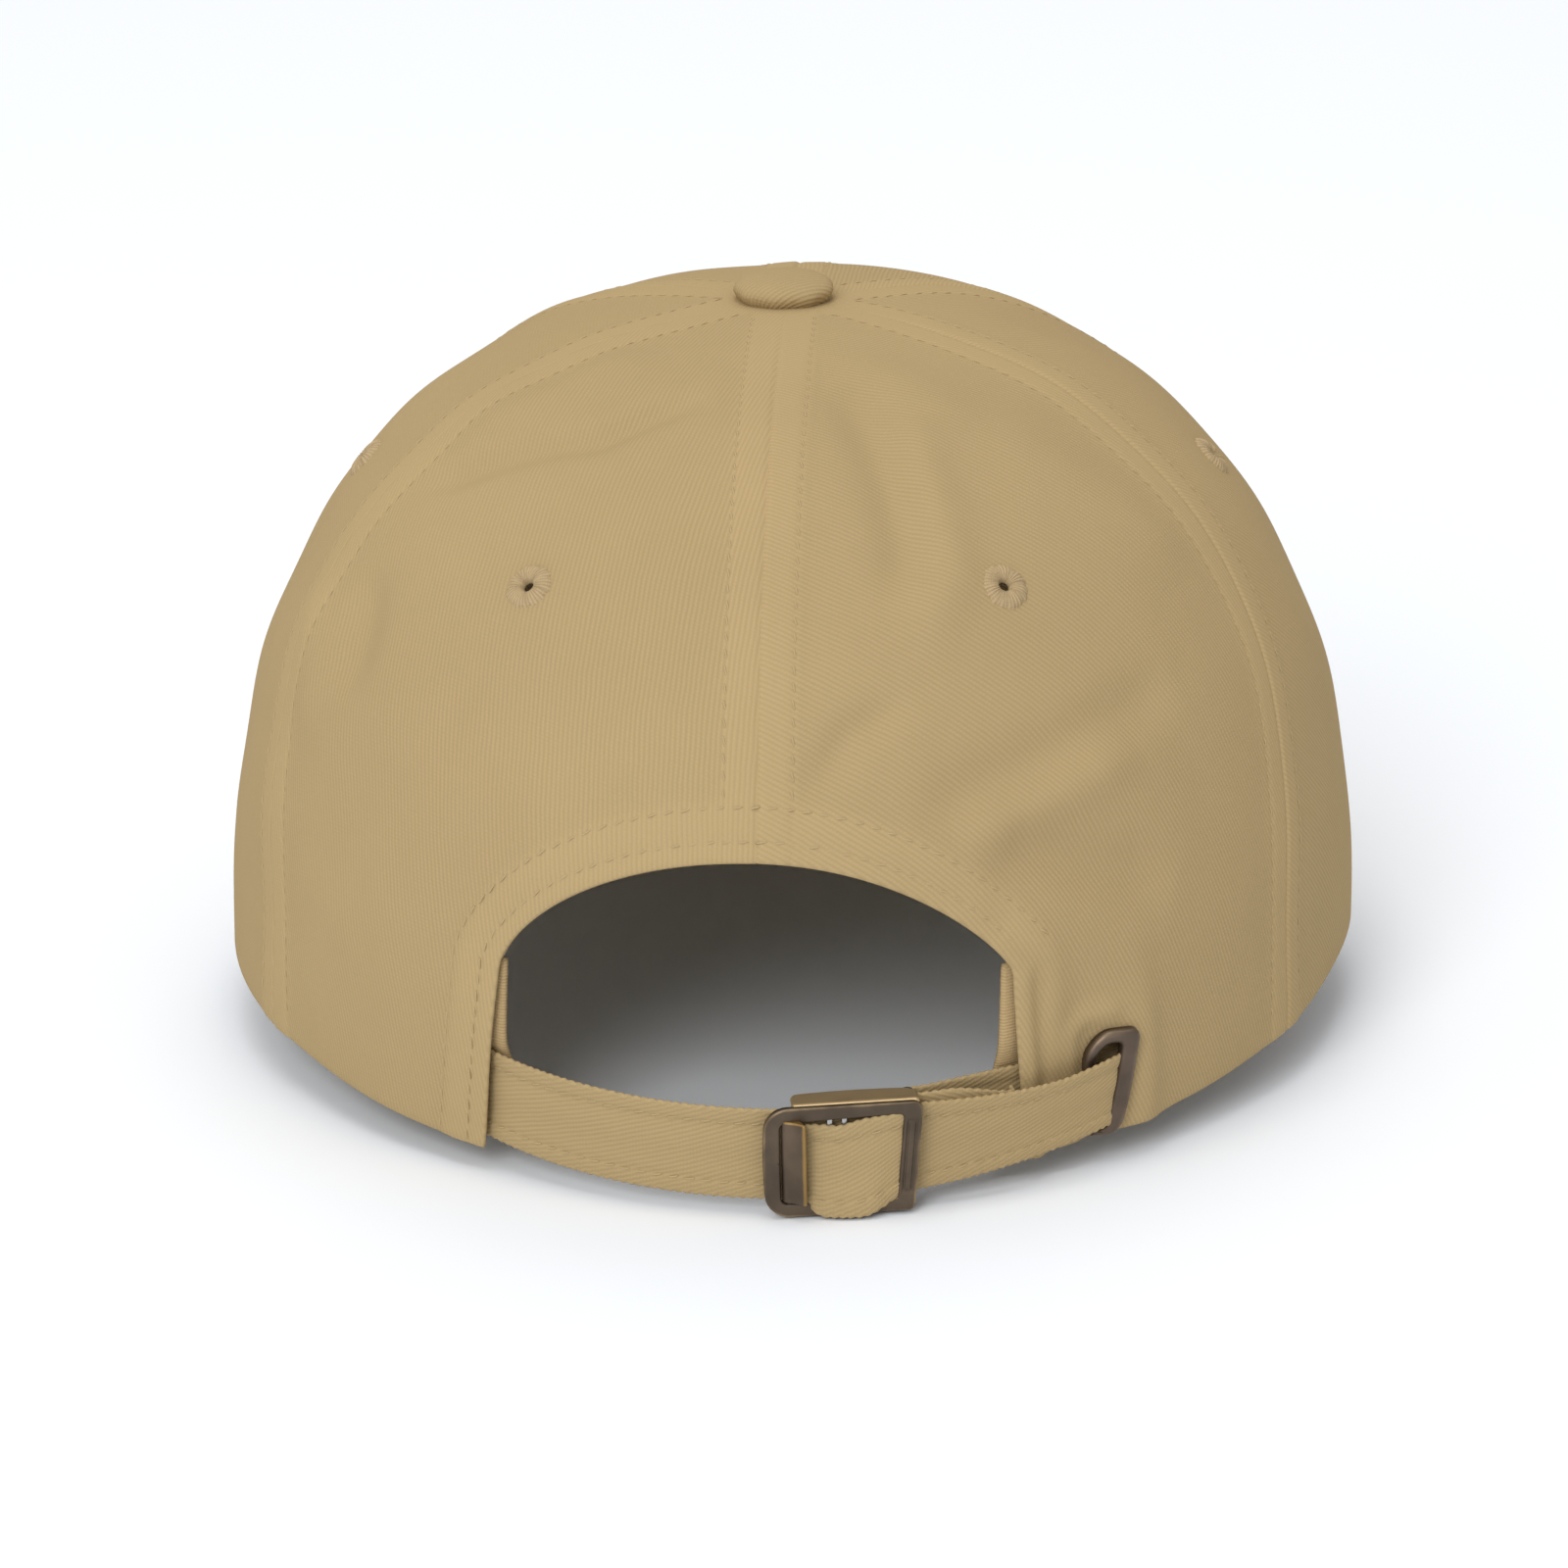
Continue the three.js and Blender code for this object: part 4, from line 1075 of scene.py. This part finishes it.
def on_buckle(points):
    """Points of the buckle's frame in the cap's; the buckle hangs a little low at its left."""
    points = np.array(points, float)
    points[:, 2] -= 0.014 * points[:, 0]
    return points @ BUCKLE_AXES + BUCKLE_SPOT


def add_strap_window():
    """The strap where it rises through the buckle's window, over its lower bar."""
    columns, rows = 90, 41
    s, side = np.meshgrid(np.linspace(0, 1, columns), np.linspace(-1, 1, rows), indexing="ij")
    x = 5.4 - 15.2 * s
    under = 1 - smooth(s, 0.6, 0.9)
    way_up = np.clip(s * (0.96 - 0.05 * np.minimum(side, 0)) + 0.02, 0, 0.99)
    crest = np.sin(math.pi * way_up) ** 0.5
    low = -7.6 - 0.9 * smooth(s, 0.02, 0.16) + 2.2 * smooth(s, 0.5, 1.0)
    high = 5.1 + 1.4 * s - 0.6 * bell(s - 0.33, 0.16)
    z = (low + high) / 2 + side * (high - low) / 2
    bulge = 0.7 + 1.7 * crest * (1 - 0.25 * side * under)
    spread = 0.6 * crest * (side < 0) * np.abs(side) * under
    y = bulge + spread + strap_profile(side) * 0.9
    grid = np.stack([x, y, z + scallop(x, side)], -1)
    points, normals, faces = grid_sheet(grid, (0, 1, 0))
    made = shell(points, normals, faces, 0.7, pairs(5 - x, side * STRAP["half"]))
    rise = piece("strap_in_window", on_buckle(made[0]), made[1], "strap", made[2])
    way = normals.reshape(grid.shape) @ BUCKLE_AXES
    lines = [stitch_row(on_buckle(grid[4:-4, k]), way[4:-4, k], pitch=2.5)
             for k in hem_columns(np.linspace(-1, 1, rows))]
    stitches = stitch_piece("strap_window_stitches", lines)


def add_short_strap():
    """The short strap, looped around the buckle's bar and sewn inside the right hem."""
    pin_x, depth, pin_radius, cloth_thick, gap = -9.9, 2.5, 0.8, 0.7, 0.12
    radius = STRAP["radius"]
    bearing = BUCKLE_BEARING + math.asin(-pin_x / radius)
    bend = pin_radius + gap + cloth_thick / 2
    centre = strap_point(bearing, radius - depth, 0.0)[:2]
    outward = np.array([-math.sin(bearing), math.cos(bearing)])
    right = np.array([-math.cos(bearing), -math.sin(bearing)])
    path = [strap_point(bearing + turn, radius - depth + bend, 0.0)[:2]
            for turn in np.linspace(0.262, 0.09, 8)]
    path.insert(0, strap_point(bearing + 0.272, radius - depth + bend - 2.0, 0.0)[:2])
    for angle in np.linspace(0, math.pi, 12):
        path.append(centre + outward * bend * math.cos(angle) - right * bend * math.sin(angle))
    path.append(strap_point(bearing + 0.06, radius - depth - bend - 0.15, 0.0)[:2])
    for azimuth, drop in ((23.4, 1.75), (25.5, 1.75), (27.5, 1.9)):
        turn = math.radians(azimuth)
        spot = crown_face(turn, 0.03) - crown_normal(turn, 0.03) * drop
        path.append(spot[:2])
    path = np.array(path)
    columns, rows = 140, 31
    run = lengths(path)
    fine_run = np.linspace(0, run[-1], columns)
    kernel = np.ones(5) / 5
    padded = np.pad(on_path(fine_run, run, path), ((2, 2), (0, 0)), mode="edge")
    line = np.stack([np.convolve(column, kernel, "valid") for column in padded.T], 1)
    ahead = unit(np.gradient(line, axis=0))
    edge = np.stack([ahead[:, 1], -ahead[:, 0]], 1)
    across = np.linspace(-1, 1, rows)
    middle, half = STRAP["middle"] + 1.4, 6.4
    grid, normals = np.zeros((2, columns, rows, 3))
    bumps = scallop(fine_run[:, None], across[None])
    face = cloth_thick / 2 + strap_profile(across) * 0.8 - 0.1
    for k, rise in enumerate(face):
        grid[:, k, :2] = line + edge * rise
        low = 2.3 * (1 - smooth(fine_run, 1, 13)) * (across[k] + 1) / 2
        grid[:, k, 2] = middle + across[k] * (half - 0.3) + bumps[:, k] - low
        normals[:, k, :2] = edge
    made = shell(grid.reshape(-1, 3), normals.reshape(-1, 3), grid_faces(columns, rows), 0.65,
                 pairs(fine_run[:, None], across * half))
    strap = piece("strap_loop", made[0], made[1], "strap", made[2],
                  replaces=["strap_short"])
    lines = [stitch_row(grid[:50, k], normals[:50, k], pitch=2.5) for k in hem_columns(across)]
    stitches = stitch_piece("strap_loop_stitches", lines)


# ---- metal ----------------------------------------------------------------------------------


def rounded_copy(node, material, width, segments=3, squeeze=1.0):
    """A copy of a metal CAD node with its flat faces joined and its edges rounded."""
    source = frame["nodes"][node]
    mesh = source.data.copy()
    mesh.name = f"{node}_rounded"
    if squeeze < 1:
        spots = [to_cap(source.matrix_world @ v.co) for v in mesh.vertices]
        middle = (max(s[2] for s in spots) + min(s[2] for s in spots)) / 2
        back = source.matrix_world.inverted()
        for vertex, spot in zip(mesh.vertices, spots):
            spot[2] = middle + (spot[2] - middle) * squeeze
            vertex.co = back @ Vector(to_row(spot))
    made = new_object(mesh.name, mesh)
    mesh.materials.clear()
    mesh.materials.append(MATERIALS[material])
    modify(made, "WELD", merge_threshold=1e-6)
    modify(made, "DECIMATE", decimate_type="DISSOLVE", angle_limit=math.radians(2))
    modify(made, "BEVEL", width=width * MM, segments=segments, limit_method="ANGLE",
           angle_limit=math.radians(28), harden_normals=True)
    mesh.polygons.foreach_set("use_smooth", [True] * len(mesh.polygons))
    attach(made, body_of(source) if isinstance(body_of(source), str) else "cap")
    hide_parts(node)


def rounded_loop(left, right, low, high, radii, side=26, corner=9):
    """Points around a rectangle with rounded corners, the same number on each side."""
    spots = []
    for k, (x, z) in enumerate(((left, high), (right, high), (right, low), (left, low))):
        r = radii[k]
        middle = np.array([x + (r if x < (left + right) / 2 else -r), z + (-r if k < 2 else r)])
        start = (HALF_PI * (2 - k)) if left < right else (HALF_PI * k)
        sweep = -HALF_PI if left < right else HALF_PI
        turn = start + np.linspace(0, sweep, corner)
        spots.append(middle + r * circle(turn))
    path = []
    for k, arc_points in enumerate(spots):
        following = spots[(k + 1) % 4][0]
        path.append(arc_points)
        share = np.linspace(0, 1, side)[1:-1, None]
        path.append(arc_points[-1] * (1 - share) + following * share)
    return np.concatenate(path)


def ring(name, outer, inner, face, back, place, material, radius=0.35, across=21, emboss=None):
    """A flat metal ring between two loops, its edges rounded, with its face and back at given
    heights; place turns its own points (x, height, z) into the cap's frame."""
    angle = np.linspace(0, HALF_PI, 5)
    width = np.linalg.norm(outer - inner, axis=1)
    edge = radius * (1 - np.cos(angle))
    drop = radius * (1 - np.sin(angle))
    inward = edge / width[:, None]
    middle = inward[:, -1:] + (1 - 2 * inward[:, -1:]) * np.linspace(0, 1, across)[1:-1]
    share = np.concatenate([inward, middle, 1 - inward[:, ::-1]], 1)
    height = np.concatenate([face - drop, np.full(across - 2, face), face - drop[::-1]])
    flat = outer[:, None] * (1 - share[..., None]) + inner[:, None] * share[..., None]
    rise = np.broadcast_to(height, share.shape).copy()
    if emboss is not None:
        rise += emboss(flat[..., 0], flat[..., 1])
    front = np.stack([flat[..., 0], rise, flat[..., 1]], -1)
    under = np.stack([np.stack([loop[:, 0], np.full(len(loop), back), loop[:, 1]], -1)
                      for loop in (inner, outer)], 1)
    points = np.concatenate([front, under], 1)
    count, rows = points.shape[:2]
    faces = grid_faces(count, rows, wrap=True, close=True)
    flat_points = points.reshape(-1, 3)
    sample = flat_points[faces[rows // 2]]
    if np.cross(sample[1] - sample[0], sample[2] - sample[1])[1] < 0:
        faces = faces[:, ::-1]
    # The rounded outer edge is marked lighter: partly scuffing, partly a painted highlight along
    # the edge.
    rub_and_highlight = np.concatenate([1 - smooth(np.arange(rows - 2), 2, 7), [0, 0]]) * 480
    wear_and_highlight = pairs(rub_and_highlight, np.zeros((count, 1)))
    return piece(name, place(flat_points), faces, material, wear_and_highlight)


def add_grommet():
    """A pressed ring around the slot; its right bar leans toward the buckle at its foot."""
    normal = crown_normal(SLOT["azimuth"], 0.0)
    turn = math.atan2(-normal[0], normal[1]) - SLOT_TWIST
    spot = crown_face(SLOT["azimuth"], 0.0)
    axes = upright(turn)
    origin = np.array([spot[0], spot[1], SLOT["height"]])

    def lean(loop):
        down = np.clip((8.3 - loop[:, 1]) / 16.6, 0, 1)
        right = smooth(-loop[:, 0], -3.5, 1.0)
        loop[:, 0] += right * (0.9 + 3.4 * down ** 1.5)
        return loop

    def tall(x, z):
        """It stands higher at its foot, where the strap passes under it."""
        return 0.6 * smooth(-z, -4, 6) * smooth(-x, -4.0, 0.0)

    outer = lean(rounded_loop(4.9, -4.9, -8.3, 8.3, (5.4, 1.5, 2.4, 2.2)))
    inner = lean(rounded_loop(3.2, -2.1, -7.1, 6.3, (4.0, 0.8, 1.0, 1.0)))
    made = ring("slot_grommet", outer, inner, 1.1, -0.5, lambda p: p @ axes + origin, "grommet",
                0.85, emboss=tall)
    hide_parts("strap_grommet")


def block(name, low, high, width):
    """A small rounded steel block in the buckle's frame."""
    (x, y, z), (far_x, far_y, far_z) = low, high
    corners = [[a, b, c] for a in (x, far_x) for b in (y, far_y) for c in (z, far_z)]
    faces = [[0, 1, 3, 2], [4, 6, 7, 5], [0, 4, 5, 1], [2, 3, 7, 6], [0, 2, 6, 4], [1, 5, 7, 3]]
    made = piece(name, on_buckle(corners), faces, "steel")
    modify(made, "BEVEL", width=width * MM, segments=3)


LEAN, LEAN_FROM = 0.085, 4.2  # the right bar leans in at its foot
RIGHT_END = {1: -10.9, -1: -9.9}  # of the top and bottom flanges


def add_buckle_frame():
    """A stamped frame: a flat face with a D-shaped left end, and flanges bent back from it."""
    outer = rounded_loop(11.2, -11.5, -8.9, 8.35, (3.2, 1.6, 0.9, 3.4), side=60)
    inner = rounded_loop(9.03, -8.75, -6.75, 6.25, (0.9, 0.7, 0.5, 0.9), side=60)
    for loop, bow, slope in ((outer, 0.45, 0.0), (inner, 0.1, 0.025)):
        loop[:, 0] += smooth(loop[:, 0], 5, 9) * bow * (1 - (loop[:, 1] / 8.9) ** 2)
        loop[:, 1] -= slope * loop[:, 0] * (loop[:, 1] > 0)
        at_right = smooth(-loop[:, 0], 7, 9)
        loop[:, 0] -= at_right * LEAN * (loop[:, 1] - LEAN_FROM)

    def stamped(x, z):
        """The sunk outline of the panel on the right bar."""
        x = x + LEAN * (z - LEAN_FROM)
        gap = np.maximum(np.abs(x + 10.1) - 0.6, np.abs(z + 0.2) - 5.6)
        return -0.22 * bell(gap, 0.2)

    made = ring("buckle_face", outer, inner, 2.0, 1.0, on_buckle, "brass", 0.38, 31, stamped)
    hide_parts("buckle_frame")
    for hand in (1, -1):
        columns = 60
        x = np.linspace(6.9, RIGHT_END[hand], columns)
        bend = np.linspace(0, HALF_PI, 9)
        y = np.concatenate([[1.55, 1.5], 0.45 + 1.05 * np.cos(bend), np.linspace(0.3, -3.1, 12)])
        z = np.concatenate([[7.25, 7.45], 7.5 + 1.05 * np.sin(bend), np.full(12, 8.55)])
        corner = 1.8 * (1 - round_off((x - x[-1]) / 1.8))
        near = 0.7 * (1 - round_off((x[0] - x) / 0.7))
        depth = 1 - np.clip((corner + near) / 3.4, 0, 0.9) - 0.14 * ((x + 2) / 8.9) ** 2
        grid = np.zeros((columns, len(y), 3))
        grid[..., 0] = x[:, None]
        grid[..., 1] = np.where(y[None] < 0.45, 0.45 + (y[None] - 0.45) * depth[:, None], y[None])
        grid[..., 2] = hand * z[None]
        # The bend and free edge are marked lighter: partly scuffing, partly painted highlight; the
        # top flange is marked more strongly, a painted highlight where light falls from above.
        rub_and_highlight = np.concatenate([[0, 0.3], np.full(9, 1.0), np.linspace(0.8, 1.1, 12)])
        rub_and_highlight = rub_and_highlight * (1150 if hand > 0 else 350)
        shape = shell(*grid_sheet(grid, (0, 0, hand)), 0.8, pairs(rub_and_highlight, np.zeros((columns, 1))))
        piece(f"buckle_flange_{'top' if hand > 0 else 'bottom'}", on_buckle(shape[0]), shape[1],
              "brass", shape[2])


def add_lever():
    """The cam lever: a wedge of folded plate that curls around its pin, closed at its ends."""
    pin, radius = np.array([7.9, 1.4]), 1.05
    turn = np.radians(np.linspace(-150, 65, 26))
    curl = pin + radius * circle(turn)
    lip_turn = np.radians(np.linspace(65, 200, 9))
    lip = np.array([5.75, 3.6]) + 0.3 * circle(lip_turn)
    share = np.linspace(0, 1, 8)[1:-1, None]
    sag = 0.16 * np.sin(share * math.pi) * np.array([0.5, 0.86])
    plate = curl[-1] + (lip[0] - curl[-1]) * share - sag
    heel = np.array([[5.6, 3.1], [5.85, 2.4], [6.2, 1.5], [6.6, 0.8]])
    # The lip is marked lighter: partly scuffing, partly a painted highlight on the raised edge.
    rub_and_highlight = np.concatenate([np.full(len(curl), 0.1), np.linspace(0.0, 0.2, len(plate)),
                          np.full(len(lip), 0.9), np.full(len(heel), 0.1)])
    outline = np.concatenate([curl, plate, lip, heel])
    count = len(outline)
    half, bevel = 6.45, 0.3
    stations = [(-half, bevel), (-half + 0.09, 0.13), (-half + bevel, 0.0), (half - bevel, 0.0),
                (half - 0.09, 0.13), (half, bevel)]
    out = unit(np.stack([np.gradient(outline[:, 1]), -np.gradient(outline[:, 0])], 1))
    points, wear_and_highlight = [], []
    for z, inset in stations:
        spots = outline - out * inset
        points.append(np.stack([spots[:, 0], spots[:, 1], np.full(count, z)], 1))
        # The top end is marked lighter still: a painted glint.
        wear_and_highlight.append(np.stack([np.maximum(rub_and_highlight, 1.1 * (z > half - 0.2)), 0 * rub_and_highlight], 1) * 1000)
    points = np.concatenate(points)
    faces = grid_faces(len(stations), count, close=True).tolist()
    faces += [list(range(count))[::-1], list(range(len(points) - count, len(points)))]
    made = piece("buckle_lever_plate", on_buckle(points), faces, "lever",
                 np.concatenate(wear_and_highlight), body="lever", replaces=["buckle_lever"])
    modify(made, "EDGE_SPLIT", split_angle=math.radians(40))


def add_metal():
    add_buckle_frame()
    add_lever()
    rounded_copy("buckle_lever_pin", "brass", 0.1)
    rounded_copy("buckle_loop_pin", "brass", 0.15, squeeze=0.9)
    rounded_copy("buckle_back_plate", "steel", 0.12)
    rounded_copy("button_shell", "steel", 0.05, segments=2)
    rounded_copy("button_rivet", "steel", 0.15)
    for name, x in (("left", 1.45), ("right", -0.7)):
        block(f"buckle_catch_{name}", (x, 0.2, 4.6), (x + 0.8, 1.45, 6.4), 0.15)
    board = frame["nodes"]["visor_board"].data.materials
    board.clear()
    board.append(MATERIALS["board"])


# ---- camera, light and floor ----------------------------------------------------------------


def add_camera():
    distance, target = 850.0, np.array([0.0, 0.0, 50.0])
    elevation, yaw, roll = math.radians(19.7), math.radians(3.4), math.radians(1.1)
    down, aside = math.radians(1.5499), math.radians(0.0698)
    away = np.array([-math.sin(yaw) * math.cos(elevation), math.cos(yaw) * math.cos(elevation),
                     math.sin(elevation)])
    right, up = tangents(away)
    basis = Matrix(np.stack([right, up, away], 1).tolist())
    eye = target + away * distance
    turn = basis @ Matrix.Rotation(-roll, 3, "Z")
    turn = turn @ Matrix.Rotation(-down, 3, "X") @ Matrix.Rotation(aside, 3, "Y")
    data = bpy.data.cameras.new("camera")
    data.sensor_width = 36
    data.lens = 121.826
    data.clip_start, data.clip_end = 0.05, 20
    camera = new_object("camera", data)
    world = Matrix(AXES.T.tolist()) @ turn
    camera.matrix_world = Matrix.Translation(to_row(eye)) @ world.to_4x4()
    bpy.context.scene.camera = camera


def add_light(name, spot, size, energy, at=(0, 0, 0.05)):
    data = bpy.data.lights.new(name, "AREA")
    data.shape = "DISK"
    data.size, data.energy = size, energy
    lamp = new_object(name, data)
    lamp.location = spot
    aim = Vector(at) - Vector(spot)
    lamp.rotation_mode = "QUATERNION"
    lamp.rotation_quaternion = aim.to_track_quat("-Z", "Y")


def add_studio():
    paper = Surface("floor", Base_Color=(0.89, 0.93, 0.98, 1), Roughness=0.9,
                    Specular_IOR_Level=0.1)
    mesh = bpy.data.meshes.new("floor")
    half = 6.0
    corners = [(-half, -half, 0), (half, -half, 0), (half, half, 0), (-half, half, 0)]
    mesh.from_pydata(corners, [], [(0, 1, 2, 3)])
    mesh.materials.append(paper.material)
    floor = new_object("floor", mesh)
    world = bpy.data.worlds.new("studio")
    world.use_nodes = True
    background = world.node_tree.nodes["Background"]
    background.inputs["Color"].default_value = (1, 0.968, 0.945, 1)
    background.inputs["Strength"].default_value = 0.66
    bpy.context.scene.world = world
    bpy.context.scene.view_settings.view_transform = "Standard"
    add_light("key", (0.7, 2.2, 1.45), 1.3, 29.5)
    add_light("top", (0.2, 0.3, 2.4), 1.4, 14)
    add_light("back", (0, -1.6, 2.0), 1.6, 9, (0, -0.9, 0))


add_camera()
add_panels()
add_crown_stitches()
add_tapes()
add_facing()
add_sweatband()
add_button()
add_visor()
add_long_strap()
add_strap_window()
add_short_strap()
add_grommet()
add_metal()
add_studio()
